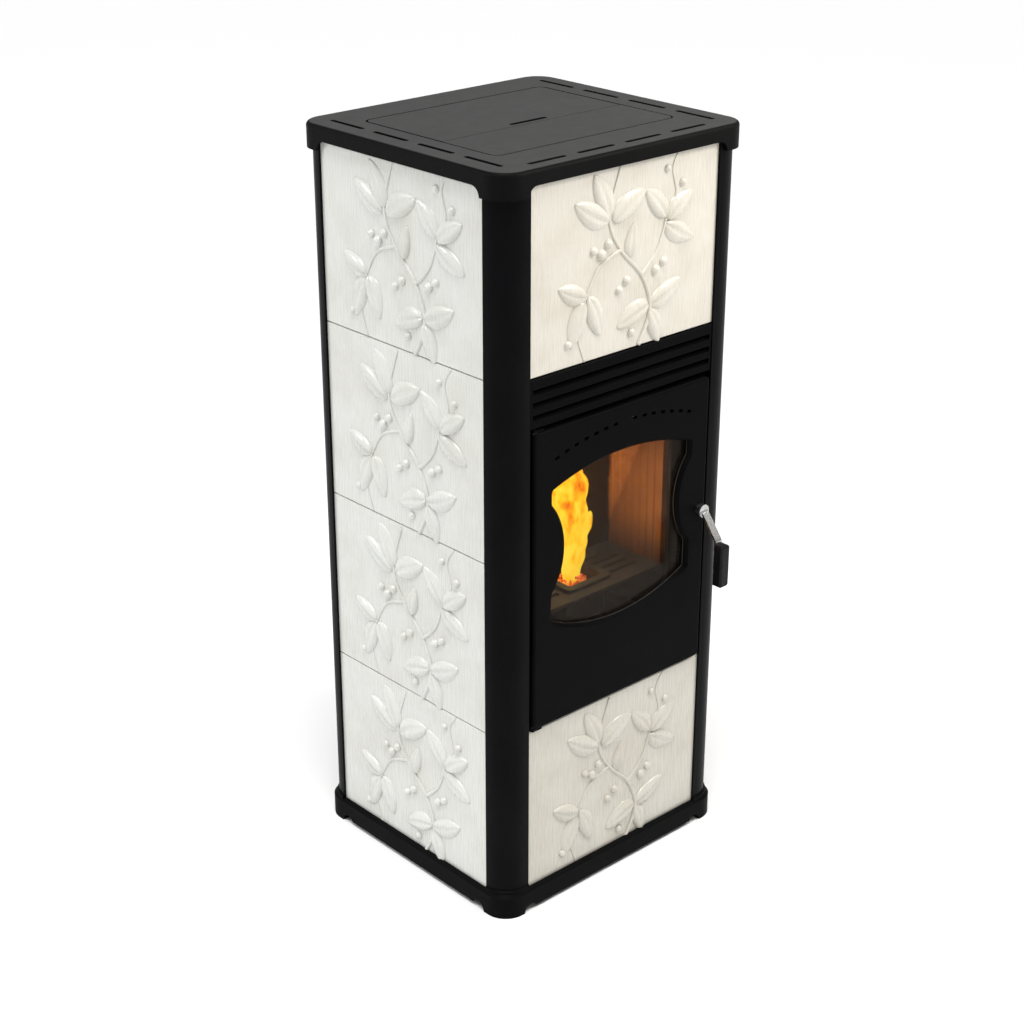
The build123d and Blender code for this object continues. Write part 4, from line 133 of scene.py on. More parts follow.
class Graph:
    """One material and the nodes in it."""

    def __init__(self, name: str) -> None:
        """Start an empty material of that name."""
        self.material = bpy.data.materials.new(name)
        self.material.use_nodes = True
        self.tree = self.material.node_tree
        self.tree.nodes.clear()

    def node(
        self, kind: str, settings: dict[str, Any] | None = None,
        inputs: dict[Any, Any] | None = None, output: int | str = 0,
    ) -> Value:
        """Add any node.

        Args:
            kind: the node's type.
            settings: its own settings, with "stops" as (place, colour) pairs for a ramp.
            inputs: values or links, by the socket's name or number.
            output: the output that is returned.

        Returns:
            That output.
        """
        made = self.tree.nodes.new(kind)
        for key, value in (settings or {}).items():
            if key == "stops":
                for _ in range(len(value) - 2):
                    made.color_ramp.elements.new(0.5)
                for element, (place, colour) in zip(made.color_ramp.elements, value):
                    element.position = place
                    element.color = (*colour, 1.0)
            else:
                setattr(made, key, value)
        for key, value in (inputs or {}).items():
            if isinstance(value, Value):
                self.tree.links.new(value.socket, made.inputs[key])
            else:
                made.inputs[key].default_value = value
        return Value(self, made.outputs[output] if len(made.outputs) else None)

    def place(self, stretch: Sequence[float] = EVEN) -> Value:
        """Object coordinates in metres.

        Args:
            stretch: a factor along each axis.

        Returns:
            The coordinates.
        """
        spot = self.node("ShaderNodeTexCoord", output="Object")
        if tuple(stretch) == EVEN:
            return spot
        return self.node("ShaderNodeMapping", {"vector_type": "POINT"}, {"Vector": spot, "Scale": stretch})

    def component(self, vector: Value, axis: int) -> Value:
        """One number of a vector, where axis is 0, 1 or 2."""
        return self.node("ShaderNodeSeparateXYZ", inputs={0: vector}, output=axis)

    def height(self) -> Value:
        """Height above the floor in metres."""
        return self.component(self.place(), 2)

    def depth(self) -> Value:
        """Place from front to back in metres."""
        return self.component(self.place(), 1)

    def flakes(self, scale: float) -> Value:
        """Flat patches, so many per metre, each with its own number from 0 to 1."""
        return self.component(self.cells(scale, output="Color"), 0)

    def speckle(
        self, scale: float, detail: float = 4.0, rough: float = 0.55,
        stretch: Sequence[float] = EVEN,
    ) -> Value:
        """Noise from 0 to 1.

        Args:
            scale: patches per metre.
            detail: how many finer layers it has.
            rough: how strong those are.
            stretch: factors along the axes.

        Returns:
            The noise.
        """
        return self.node(
            "ShaderNodeTexNoise", None,
            {"Vector": self.place(stretch), "Scale": scale, "Detail": detail, "Roughness": rough})

    def cells(self, scale: float, feature: str = "F1", output: int | str = 0) -> Value:
        """Voronoi cells.

        Args:
            scale: cells per metre.
            feature: what the distance is measured to.
            output: the output that is returned.

        Returns:
            That output.
        """
        return self.node(
            "ShaderNodeTexVoronoi", {"feature": feature}, {"Vector": self.place(), "Scale": scale}, output)

    def blend(self, share: Any, first: Any, second: Any) -> Value:
        """Mix two colours.

        Args:
            share: how much of the second, from 0 to 1.
            first: a colour or a link.
            second: a colour or a link.

        Returns:
            The mixed colour.
        """
        inputs: dict[Any, Any] = {0: share}
        for key, colour in ((6, first), (7, second)):
            inputs[key] = colour if isinstance(colour, Value) else (*colour, 1.0)
        return self.node("ShaderNodeMix", {"data_type": "RGBA"}, inputs, 2)

    def bump(self, height: Value, depth: float, under: Value | None = None) -> Value:
        """Normal of a relief.

        Args:
            height: the relief, from 0 to 1.
            depth: how deep 1 is, in metres.
            under: the normal of a coarser relief below it.

        Returns:
            The normal.
        """
        inputs: dict[Any, Any] = {"Height": height, "Distance": depth, "Strength": 1.0}
        if under is not None:
            inputs["Normal"] = under
        return self.node("ShaderNodeBump", None, inputs)

    def finish(self, shader: Value) -> bpy.types.Material:
        """Join a shader to the output, and return the material."""
        self.node("ShaderNodeOutputMaterial", None, {"Surface": shader})
        return self.material

    def surface(self, **sockets: Any) -> bpy.types.Material:
        """End in a Principled surface.

        Args:
            sockets: its sockets, with _ for each space in their names.

        Returns:
            The finished material.
        """
        inputs = {key.replace("_", " "): value for key, value in sockets.items()}
        for key in ("Base Color", "Emission Color"):
            if key in inputs and not isinstance(inputs[key], Value):
                inputs[key] = (*inputs[key], 1.0)
        return self.finish(self.node("ShaderNodeBsdfPrincipled", None, inputs))

    def shining(self, colour: Any, power: float) -> bpy.types.Material:
        """End in a surface that only gives light.

        Args:
            colour: a colour or a link.
            power: how bright it is.

        Returns:
            The finished material.
        """
        return self.surface(
            Base_Color=BLACK, Emission_Color=colour, Emission_Strength=power,
            Roughness=1.0, Specular_IOR_Level=0.0)


@dataclass(frozen=True)
class Finish:
    """What a piece is made of or coated with, under the material's name."""

    name: str

    def dress(self, g: Graph) -> bpy.types.Material:
        """Fill the empty material, which each kind of finish does in its own way."""
        raise NotImplementedError

    def material(self) -> bpy.types.Material:
        """Make the finish."""
        return self.dress(Graph(self.name))


@dataclass(frozen=True)
class CastEnamel(Finish):
    """Matt stove enamel on a sand casting: a fine pebbled skin, a little uneven in gloss."""

    colour: Colour = (0.010, 0.010, 0.011)
    lighter: Colour = (0.020, 0.020, 0.021)
    gloss: float = 0.42
    dull: float = 0.58
    pebble: float = 0.00012
    shine: float = 0.03
    # The two fields below paint the top face lighter and mottled from the given height up: a painted sheen
    # where the top would catch light from above.
    painted_sheen_between: tuple[float, float] | None = None
    dust_and_sheen: Colour = (0.062, 0.062, 0.062)

    def dress(self, g: Graph) -> bpy.types.Material:
        """Fill the material.

        Args:
            g: the empty material.

        Returns:
            The finished material.
        """
        patches = g.speckle(9.0, detail=5.0)
        tint = g.blend(patches.between(0.35, 0.75), self.colour, self.lighter)
        # Painted sheen: above the given height the colour is blended towards a lighter, mottled grey,
        # standing in for the light that the top face catches.
        if self.painted_sheen_between is not None:
            level = g.height().between(*self.painted_sheen_between)
            sheen_mottle = g.speckle(46.0, detail=6.0, rough=0.7)
            tint = g.blend(level * (0.62 + 0.7 * sheen_mottle * patches), tint, self.dust_and_sheen)
        pebbles = g.speckle(900.0, detail=3.0, rough=0.6)
        skin = g.bump(g.speckle(160.0, detail=3.0), self.pebble * 1.4)
        rough = self.gloss + (self.dull - self.gloss) * patches.between(0.3, 0.7) + 0.10 * (pebbles - 0.5)
        return g.surface(
            Base_Color=tint, Roughness=rough, Normal=g.bump(pebbles, self.pebble, skin),
            Specular_IOR_Level=self.shine)


@dataclass(frozen=True)
class TileGlaze(Finish):
    """Off-white glaze on a moulded tile: thin runs down it, and slightly warm where it pools."""

    colour: Colour = (0.650, 0.655, 0.618)
    pooled: Colour = (0.605, 0.604, 0.560)
    pit: Colour = (0.52, 0.50, 0.45)
    runs: float = 0.00001

    def dress(self, g: Graph) -> bpy.types.Material:
        """Fill the material.

        Args:
            g: the empty material.

        Returns:
            The finished material.
        """
        fine = g.speckle(420.0, rough=0.6, stretch=(1.0, 1.0, 0.05))
        broad = g.speckle(38.0, detail=3.0, rough=0.5, stretch=(1.0, 1.0, 0.25))
        waves = g.speckle(14.0, detail=2.0)
        glazed = g.cells(170.0).between(0.0, 0.10)
        tint = g.blend(waves.between(0.38, 0.72), self.colour, self.pooled)
        tint = g.blend((1 - glazed) * 0.35, tint, self.pit)
        return g.surface(
            Base_Color=tint, Roughness=0.20 + 0.16 * fine.between(0.3, 0.7),
            Normal=g.bump(fine, self.runs, g.bump(broad, self.runs * 2.2)),
            Coat_Weight=0.35, Coat_Roughness=0.08, Specular_IOR_Level=0.5)


@dataclass(frozen=True)
class Galvanised(Finish):
    """Zinc-coated sheet with its spangle."""

    dark: Colour = (0.40, 0.41, 0.43)
    light: Colour = (0.60, 0.61, 0.63)
    spangle: float = 95.0

    def dress(self, g: Graph) -> bpy.types.Material:
        """Fill the material.

        Args:
            g: the empty material.

        Returns:
            The finished material.
        """
        flake = g.flakes(self.spangle)
        scuffs = g.speckle(60.0, detail=5.0, rough=0.65, stretch=(1.0, 1.0, 0.2))
        return g.surface(
            Base_Color=g.blend(flake * 0.7 + scuffs * 0.3, self.dark, self.light), Metallic=0.9,
            Roughness=0.34 + 0.20 * flake + 0.08 * scuffs, Normal=g.bump(scuffs, 0.00005))


@dataclass(frozen=True)
class BrushedMetal(Finish):
    """Bare metal with brush or turning marks, and dull patches."""

    colour: Colour = (0.56, 0.555, 0.54)
    tarnish: Colour = (0.40, 0.39, 0.375)
    grain: Grain = Grain.UPRIGHT
    dull: float = 0.36

    def dress(self, g: Graph) -> bpy.types.Material:
        """Fill the material.

        Args:
            g: the empty material.

        Returns:
            The finished material.
        """
        marks = g.speckle(1500.0, detail=3.0, rough=0.6, stretch=self.grain.value)
        patches = g.speckle(34.0, detail=5.0, rough=0.6)
        return g.surface(
            Base_Color=g.blend(patches.between(0.42, 0.72), self.colour, self.tarnish), Metallic=1.0,
            Roughness=self.dull - 0.10 + 0.16 * marks + 0.10 * patches, Normal=g.bump(marks, 0.00003))


@dataclass(frozen=True)
class Paint(Finish):
    """Sprayed paint or powder coat, with its orange peel and some dust."""

    colour: Colour
    worn: Colour
    rough: float = 0.42
    peel: float = 0.00008

    def dress(self, g: Graph) -> bpy.types.Material:
        """Fill the material.

        Args:
            g: the empty material.

        Returns:
            The finished material.
        """
        peel = g.speckle(520.0, detail=2.0, rough=0.4)
        dust_and_sheen = g.speckle(22.0, detail=6.0, rough=0.65)
        return g.surface(
            Base_Color=g.blend(dust_and_sheen.between(0.45, 0.8) * 0.8, self.colour, self.worn),
            Roughness=self.rough + 0.16 * dust_and_sheen.between(0.35, 0.75), Normal=g.bump(peel, self.peel))


@dataclass(frozen=True)
class FiredBoard(Finish):
    """Pressed vermiculite: mica flakes in a board browned by fire, with soot at its foot and back."""

    clean: Colour = (0.56, 0.25, 0.085)
    browned: Colour = (0.42, 0.17, 0.055)
    # Lighter flakes: the mica's own golden tone, and partly painted glints where flakes would catch the
    # light.
    mica_and_glint: Colour = (0.62, 0.47, 0.27)
    soot: Colour = (0.020, 0.018, 0.017)
    sooty_between: tuple[float, float] = (0.47, 0.58)
    black_between: tuple[float, float] = (-0.070, -0.060)
    thickness: float = 0.97

    def dress(self, g: Graph) -> bpy.types.Material:
        """Fill the material.

        Args:
            g: the empty material.

        Returns:
            The finished material.
        """
        flakes = g.flakes(420.0)
        clouds = g.speckle(17.0, detail=6.0, rough=0.62)
        board = g.blend(clouds.between(0.3, 0.75), self.clean, self.browned)
        # A few flakes are painted lighter: the mica's own tone, partly painted glints.
        board = g.blend(flakes.between(0.80, 0.95) * 0.5, board, self.mica_and_glint)
        drift = clouds - 0.5
        foot = 1 - (g.height() + 0.10 * drift).between(*self.sooty_between)
        back = (g.depth() + 0.02 * drift).between(*self.black_between)
        smoke = foot.math("MAXIMUM", foot, back)
        return g.surface(
            Base_Color=g.blend(smoke * self.thickness, board, self.soot), Roughness=0.78 + 0.15 * clouds,
            Normal=g.bump(flakes, 0.0004), Specular_IOR_Level=0.15)


@dataclass(frozen=True)
class BurntIron(Finish):
    """Bare iron that has been red hot: scale, ash and a little rust."""

    iron: Colour = (0.085, 0.095, 0.110)
    rust: Colour = (0.115, 0.100, 0.090)
    ash: Colour = (0.30, 0.32, 0.34)

    def dress(self, g: Graph) -> bpy.types.Material:
        """Fill the material.

        Args:
            g: the empty material.

        Returns:
            The finished material.
        """
        scale = g.speckle(260.0, detail=5.0, rough=0.65)
        patches = g.speckle(26.0, detail=6.0, rough=0.62)
        tint = g.blend(patches.between(0.48, 0.78), self.iron, self.rust)
        tint = g.blend(scale.between(0.56, 0.75) * 0.55, tint, self.ash)
        return g.surface(
            Base_Color=tint, Metallic=0.35, Roughness=0.62 + 0.22 * patches, Normal=g.bump(scale, 0.0004))


@dataclass(frozen=True)
class FireGlass(Finish):
    """Ceramic fire glass, seen through with a weak brown tint."""

    tint: Colour = (0.86, 0.80, 0.74)
    body: Colour = (0.02, 0.018, 0.016)

    def dress(self, g: Graph) -> bpy.types.Material:
        """Fill the material.

        Args:
            g: the empty material.

        Returns:
            The finished material.
        """
        haze = g.speckle(30.0, detail=5.0)
        clear = g.node("ShaderNodeBsdfTransparent", None, {"Color": (*self.tint, 1.0)})
        gloss = g.node(
            "ShaderNodeBsdfPrincipled", None,
            {"Base Color": (*self.body, 1.0), "Roughness": 0.03 + 0.05 * haze, "Alpha": 1.0})
        mirror = g.node("ShaderNodeFresnel", None, {"IOR": 1.3})
        share = 0.6 * mirror + 0.02 * haze
        return g.finish(g.node("ShaderNodeMixShader", None, {0: share, 1: clear, 2: gloss}))


@dataclass(frozen=True)
class BraidedRope(Finish):
    """Braided glass-fibre rope, grey with soot."""

    yarn: Colour = (0.10, 0.098, 0.094)
    # The near-black colour in the braid's grooves, which is painted shade.
    gap_shade: Colour = (0.015, 0.015, 0.015)

    def dress(self, g: Graph) -> bpy.types.Material:
        """Fill the material.

        Args:
            g: the empty material.

        Returns:
            The finished material.
        """
        braid = g.node(
            "ShaderNodeTexWave", {"bands_direction": "DIAGONAL"},
            {"Vector": g.place(), "Scale": 160.0, "Distortion": 1.5, "Detail": 2.0})
        fuzz = g.speckle(1400.0, detail=3.0)
        # The grooves between the strands are painted near black: painted shade in the braid's hollows.
        return g.surface(
            Base_Color=g.blend(braid * 0.8 + fuzz * 0.2, self.gap_shade, self.yarn), Roughness=0.92,
            Normal=g.bump(braid, 0.0008))


@dataclass(frozen=True)
class GrainedPlastic(Finish):
    """Moulded plastic with a fine spark-eroded grain."""

    colour: Colour = (0.004, 0.004, 0.005)
    rubbed: Colour = (0.009, 0.009, 0.010)
    rough: float = 0.34
    shine: float = 0.12

    def dress(self, g: Graph) -> bpy.types.Material:
        """Fill the material.

        Args:
            g: the empty material.

        Returns:
            The finished material.
        """
        grain = g.cells(1700.0)
        rub = g.speckle(48.0)
        return g.surface(
            Base_Color=g.blend(rub.between(0.45, 0.75), self.colour, self.rubbed),
            Roughness=self.rough + 0.14 * rub, Normal=g.bump(grain, 0.00006),
            Specular_IOR_Level=self.shine)


@dataclass(frozen=True)
class Blaze(Finish):
    """Flame: pale yellow at the foot, with orange licks that spread as it rises."""

    foot: float = 0.485
    top: float = 0.68
    power: float = 2.0
    stops: tuple[tuple[float, Colour], ...] = (
        (0.0, (1.0, 0.74, 0.060)), (0.26, (1.0, 0.60, 0.022)), (0.50, (0.95, 0.34, 0.010)),
        (0.74, (0.72, 0.14, 0.006)), (1.0, (0.30, 0.04, 0.003)),
    )

    def dress(self, g: Graph) -> bpy.types.Material:
        """Fill the material.

        Args:
            g: the empty material.

        Returns:
            The finished material.
        """
        rise = (g.height() - self.foot) / (self.top - self.foot)
        licks = g.speckle(58.0, detail=3.5, rough=0.5, stretch=(1.0, 1.0, 0.6))
        cooling = 0.46 * rise + 2.0 * (licks - 0.54)
        return g.shining(g.node("ShaderNodeValToRGB", {"stops": self.stops}, {0: cooling}), self.power)


@dataclass(frozen=True)
class GlowingPellet(Finish):
    """Pressed wood pellet that chars and glows at its cracks."""

    glow: float = 5.0
    dull_red: Colour = (0.55, 0.05, 0.0)
    orange: Colour = (1.0, 0.32, 0.04)
    crust: Colour = (0.02, 0.004, 0.001)
    char: Colour = (0.04, 0.03, 0.025)
    ash: Colour = (0.20, 0.19, 0.18)

    def dress(self, g: Graph) -> bpy.types.Material:
        """Fill the material.

        Args:
            g: the empty material.

        Returns:
            The finished material.
        """
        off_crack = g.cells(330.0, "DISTANCE_TO_EDGE").between(0.0, 0.16)
        heat = g.speckle(120.0)
        ember = g.blend(heat.between(0.4, 0.7), self.dull_red, self.orange)
        return g.surface(
            Base_Color=g.blend(heat, self.char, self.ash), Roughness=0.9,
            Emission_Color=g.blend(off_crack, ember, self.crust), Emission_Strength=self.glow,
            Normal=g.bump(heat, 0.0004))


@dataclass(frozen=True)
class PaleFloor(Finish):
    """Plain pale studio floor, so that only the stove stands out."""

    colour: Colour = (0.86, 0.86, 0.86)

    def dress(self, g: Graph) -> bpy.types.Material:
        """Fill the empty material with a colour that is a little uneven in gloss."""
        return g.surface(Base_Color=self.colour, Roughness=0.7 + 0.05 * g.speckle(3.0))


@dataclass(frozen=True)
class PaleBackdrop(Finish):
    """White paper far behind the floor, as bright as the floor looks."""

    brightness: float = 1.0

    def dress(self, g: Graph) -> bpy.types.Material:
        """Fill the empty material with even white light."""
        return g.shining(WHITE, self.brightness)


def show(name: str, data: bpy.types.ID) -> bpy.types.Object:
    """Put a mesh, light or camera into the scene.

    Args:
        name: the object's name.
        data: what it holds.

    Returns:
        The object, at the origin.
    """
    made = bpy.data.objects.new(name, data)
    bpy.context.scene.collection.objects.link(made)
    return made


def edges_among(verts: Sequence[bmesh.types.BMVert]) -> list[bmesh.types.BMEdge]:
    """Edges with both ends among the given corners."""
    return list({e for v in verts for e in v.link_edges if all(w in verts for w in e.verts)})


def new_verts(geom: Iterable[Any]) -> list[bmesh.types.BMVert]:
    """The corners in an operator's result."""
    return [v for v in geom if isinstance(v, bmesh.types.BMVert)]


@dataclass(frozen=True)
class LeafForm:
    """The form of a leaf with a sunk midrib, one half of which is higher than the other.

    The foot is sunk into the tile. The edge is the least half width, and how far the rim turns down.
    """

    foot: float = 0.0012
    edge: float = 0.0004
    grid: tuple[int, int] = (26, 16)
    widest: float = 0.86
    fullness: float = 0.62
    rim: float = 0.22
    swell: float = 0.7
    roundness: float = 0.55
    body: float = 0.86
    lean: float = 0.24
    crease: float = 0.46
    crease_off: float = 0.06
    crease_wide: float = 0.17
    crease_fades: float = 0.5
    rib: float = 0.15
    ribs: float = 6.0
    rib_slant: float = 1.3

    def point(self, t: float, s: float, length: float, width: float, rise: float, curl: float) -> Vector:
        """Find one point of the leaf.

        Args:
            t: how far it is from the stalk, 0, to the tip, 1.
            s: how far it is across, from -1 to 1.
            length: of the leaf.
            width: at its widest.
            rise: height of the dome.
            curl: sideways bend of the tip over the length.

        Returns:
            The point, with the stalk's end at the origin and the tip towards +X.
        """
        half = width / 2 * max(math.sin(math.pi * t ** self.widest), 0.0) ** self.fullness + self.edge
        dome = self.rim + (1 - self.rim) * math.sin(math.pi * min(t ** self.swell, 1.0)) ** self.swell
        arch = max(1 - s * s, 0.0) ** self.roundness * dome
        crease = self.crease * math.exp(-((s - self.crease_off) / self.crease_wide) ** 2)
        crease *= 1 - self.crease_fades * t
        lean = self.lean * s * math.copysign(1.0, curl)
        wave = math.sin(2 * math.pi * (t * self.ribs - abs(s) * self.rib_slant))
        ribs = self.rib * wave * abs(s) * (1 - abs(s))
        lift = rise * arch * (self.body + lean - crease + ribs) - self.edge * s * s
        return Vector((length * t, half * s + curl * length * t * t, lift))


class Shape:
    """A mesh under construction, with the few shaping moves that the pieces share."""

    def __init__(self) -> None:
        """Start with nothing."""
        self.bm = bmesh.new()

    def sweep(
        self, path: Sequence[Vector], radii: Sequence[float], across: Vector, sides: int,
        flat: float = 1.0,
    ) -> None:
        """Draw a ring along a path into a closed bar.

        Args:
            path: the middle of each ring.
            radii: the radius of each ring.
            across: a direction that every ring's own first axis leans to.
            sides: corners of the ring.
            flat: height of the ring over its width.
        """
        ring = bmesh.ops.create_circle(self.bm, cap_ends=False, radius=1.0, segments=sides)["verts"]
        first, before = ring, Matrix.Identity(4)
        for n, (spot, radius) in enumerate(zip(path, radii)):
            ahead = (path[min(n + 1, len(path) - 1)] - path[max(n - 1, 0)]).normalized()
            side = (across - ahead * across.dot(ahead)).normalized()
            turn = Matrix((side, ahead.cross(side), ahead)).transposed().to_4x4()
            size = Matrix.Diagonal((radius, radius * flat, 1.0, 1.0))
            to_ring = Matrix.Translation(spot) @ turn @ size
            if n:
                ring = new_verts(bmesh.ops.extrude_edge_only(self.bm, edges=edges_among(ring))["geom"])
            bmesh.ops.transform(self.bm, matrix=to_ring @ before.inverted(), verts=ring)
            before = to_ring
        for end in (first, ring):
            bmesh.ops.edgeloop_fill(self.bm, edges=edges_among(end))

    def leaf(
        self, form: LeafForm, length: float, width: float, rise: float, curl: float, to_tile: Matrix,
    ) -> None:
        """Add a leaf, domed over its base.

        Args:
            form: its form.
            length: from the stalk to the tip.
            width: at its widest.
            rise: height of the dome.
            curl: sideways bend of the tip over the length.
            to_tile: where the stalk's end and the leaf's direction lie.
        """
        along, across = form.grid
        made = bmesh.ops.create_grid(self.bm, x_segments=along, y_segments=across, size=0.5)
        verts = made["verts"]
        for vert in verts:
            t, s = vert.co.x + 0.5, math.sin(vert.co.y * math.pi)
            vert.co = form.point(t, s, length, width, rise, curl)
        rim = [e for v in verts for e in v.link_edges if e.is_boundary]
        foot = new_verts(bmesh.ops.extrude_edge_only(self.bm, edges=list(dict.fromkeys(rim)))["geom"])
        for vert in foot:
            vert.co.z = -form.foot
        bmesh.ops.edgeloop_fill(self.bm, edges=edges_among(foot))
        bmesh.ops.transform(self.bm, matrix=to_tile, verts=verts + foot)

    def ball(self, radius: float, flat: float, to_tile: Matrix, sides: int) -> None:
        """Add a flattened ball, such as a berry half sunk in the tile.

        Args:
            radius: its radius.
            flat: its height over its width.
            to_tile: where it lies.
            sides: corners round its middle.
        """
        size = Matrix.Diagonal((1.0, 1.0, flat, 1.0))
        bmesh.ops.create_uvsphere(
            self.bm, u_segments=sides, v_segments=sides // 2 + 2, radius=radius, matrix=to_tile @ size)

    def show(self, name: str, finish: bpy.types.Material, smooth: bool = False) -> bpy.types.Object:
        """Close the mesh into an object.

        Args:
            name: the object's name.
            finish: its material.
            smooth: whether its faces are shaded as one surface.

        Returns:
            The object.
        """
        mesh = bpy.data.meshes.new(name)
        self.bm.to_mesh(mesh)
        self.bm.free()
        for face in mesh.polygons:
            face.use_smooth = smooth
        mesh.materials.append(finish)
        return show(name, mesh)

    def piece(self, name: str, finish: bpy.types.Material, body: str, smooth: bool = True) -> None:
        """Close the mesh into a piece that rides on a body.

        Args:
            name: the piece's name.
            finish: its material.
            body: the body that it rides on.
            smooth: whether its faces are shaded as one surface.
        """
        bmesh.ops.remove_doubles(self.bm, verts=self.bm.verts, dist=1e-6)
        bmesh.ops.recalc_face_normals(self.bm, faces=self.bm.faces)
        made = self.show(name, finish, smooth)
        log.info("%s rides on %s, %d faces", name, body, len(made.data.polygons))
        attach(made, body)


def curve_through(points: Sequence[Vector], steps: int) -> list[Vector]:
    """Run a smooth line through points.

    Args:
        points: the points in order.
        steps: how many short runs each span gets.

    Returns:
        The points of the line.
    """
    line: list[Vector] = []
    for n in range(len(points) - 1):
        before, a, b, after = (points[min(max(n + k, 0), len(points) - 1)] for k in (-1, 0, 1, 2))
        for k in range(steps):
            t = k / steps
            line.append(0.5 * (
                2 * a + (b - before) * t + (2 * before - 5 * a + 4 * b - after) * t * t
                + (3 * a - before - 3 * b + after) * t ** 3))
    return line + [points[-1].copy()]


@dataclass(frozen=True)
class Sprig:
    """The drawing of one tile's relief, in millimetres and degrees from the tile's middle.

    A stem is its points and its thickness. A leaf is its place, heading, length and width. A berry
    is its place and radius.
    """

    stems: tuple[tuple[tuple[tuple[float, float], ...], float], ...] = (
        (((30, -146), (54, -92), (34, -36), (-12, 12), (-36, 64), (-14, 142)), 4.2),
        (((34, -36), (66, -4), (84, 42)), 3.6),
        (((-12, 12), (-56, -6), (-82, -46)), 3.6),
        (((84, 42), (104, 76), (96, 118), (112, 146)), 2.6),
        (((-82, -46), (-100, -92), (-84, -146)), 2.6),
    )
    leaves: tuple[tuple[float, float, float, float, float], ...] = (
        (-38, 60, 162, 78, 38), (-36, 66, 106, 74, 36), (-30, 58, 38, 76, 38),
        (84, 44, 122, 66, 33), (86, 40, 44, 64, 32), (82, 34, -38, 70, 35),
        (-82, -46, 168, 60, 32), (-86, -52, -122, 72, 36), (-78, -48, -58, 68, 34),
        (52, -86, 12, 72, 36), (52, -94, -58, 60, 31), (50, -84, 190, 70, 35), (8, -4, 92, 52, 26),
    )
    berries: tuple[tuple[float, float, float], ...] = (
        (-52, 12, 8.2), (-38, 26, 7.4), (-68, 20, 6.8), (64, -34, 8.0), (80, -24, 7.2), (2, -38, 7.6),
        (-14, -50, 6.8), (118, 92, 6.6), (84, 118, 6.0), (-118, -112, 6.4), (14, -122, 6.8),
    )


@dataclass
class TileRelief:
    """Leafy sprigs that stand out from every tile."""

    side_face: float = 0.2457
    front_face: float = 0.226
    rows: tuple[float, ...] = (0.1835, 0.4785, 0.7735, 1.0685)
    front_rows: tuple[float, ...] = (0.1835, 1.0685)
    proud: float = 0.0092
    stem_thins: float = 0.45
    stem_flat: float = 0.85
    stem_lift: float = 0.0002
    stem_steps: int = 10
    stem_sides: int = 12
    leaf_curl: float = 0.17
    leaf_heights: tuple[float, float] = (0.92, 0.08)
    berry_flat: float = 0.9
    berry_lift: float = 0.0004
    berry_sides: int = 20
    sprig: Sprig = Sprig()
    leaf: LeafForm = LeafForm()

    def one(self, name: str, to_face: Matrix, finish: bpy.types.Material) -> None:
        """Model the relief of one tile.

        Args:
            name: the piece's name.
            to_face: from the tile's own plane to the casing.
            finish: the glaze.
        """
        shape = Shape()
        for bends, thick in self.sprig.stems:
            points = [Vector((u * MM, v * MM, self.stem_lift)) for u, v in bends]
            line = curve_through(points, self.stem_steps)
            radii = [thick * MM * (1.0 - self.stem_thins * n / len(line)) for n in range(len(line))]
            shape.sweep(line, radii, Vector((1.0, 0.3, 0.0)), self.stem_sides, self.stem_flat)
        base, change = self.leaf_heights
        for n, (u, v, heading, length, width) in enumerate(self.sprig.leaves):
            place = Matrix.Translation((u * MM, v * MM, 0.0)) @ Matrix.Rotation(math.radians(heading), 4, "Z")
            rise = self.proud * (base + change * math.cos(3 * n))
            curl = self.leaf_curl if n % 2 else -self.leaf_curl
            shape.leaf(self.leaf, length * MM, width * MM, rise, curl, place)
        for u, v, radius in self.sprig.berries:
            place = Matrix.Translation((u * MM, v * MM, self.berry_lift))
            shape.ball(radius * MM, self.berry_flat, place, self.berry_sides)
        bmesh.ops.transform(shape.bm, matrix=to_face, verts=shape.bm.verts)
        shape.piece(name, finish, "root")

    def build(self, side: Side, glazes: Sequence[bpy.types.Material]) -> None:
        """Model the relief of one side's tiles.

        Args:
            side: the side.
            glazes: the glaze of each of its tiles, from the lowest up.
        """
        up, out = Vector((0.0, 0.0, 1.0)), Vector(side.value)
        turn = Matrix((up.cross(out), up, out)).transposed().to_4x4()
        front = side is Side.FRONT
        reach, rows = (self.front_face, self.front_rows) if front else (self.side_face, self.rows)
        for n, (z, glaze) in enumerate(zip(rows, glazes, strict=True)):
            name = f"sprigs_{side.name.lower()}_{n + 1}"
            self.one(name, Matrix.Translation(out * reach + up * z) @ turn, glaze)


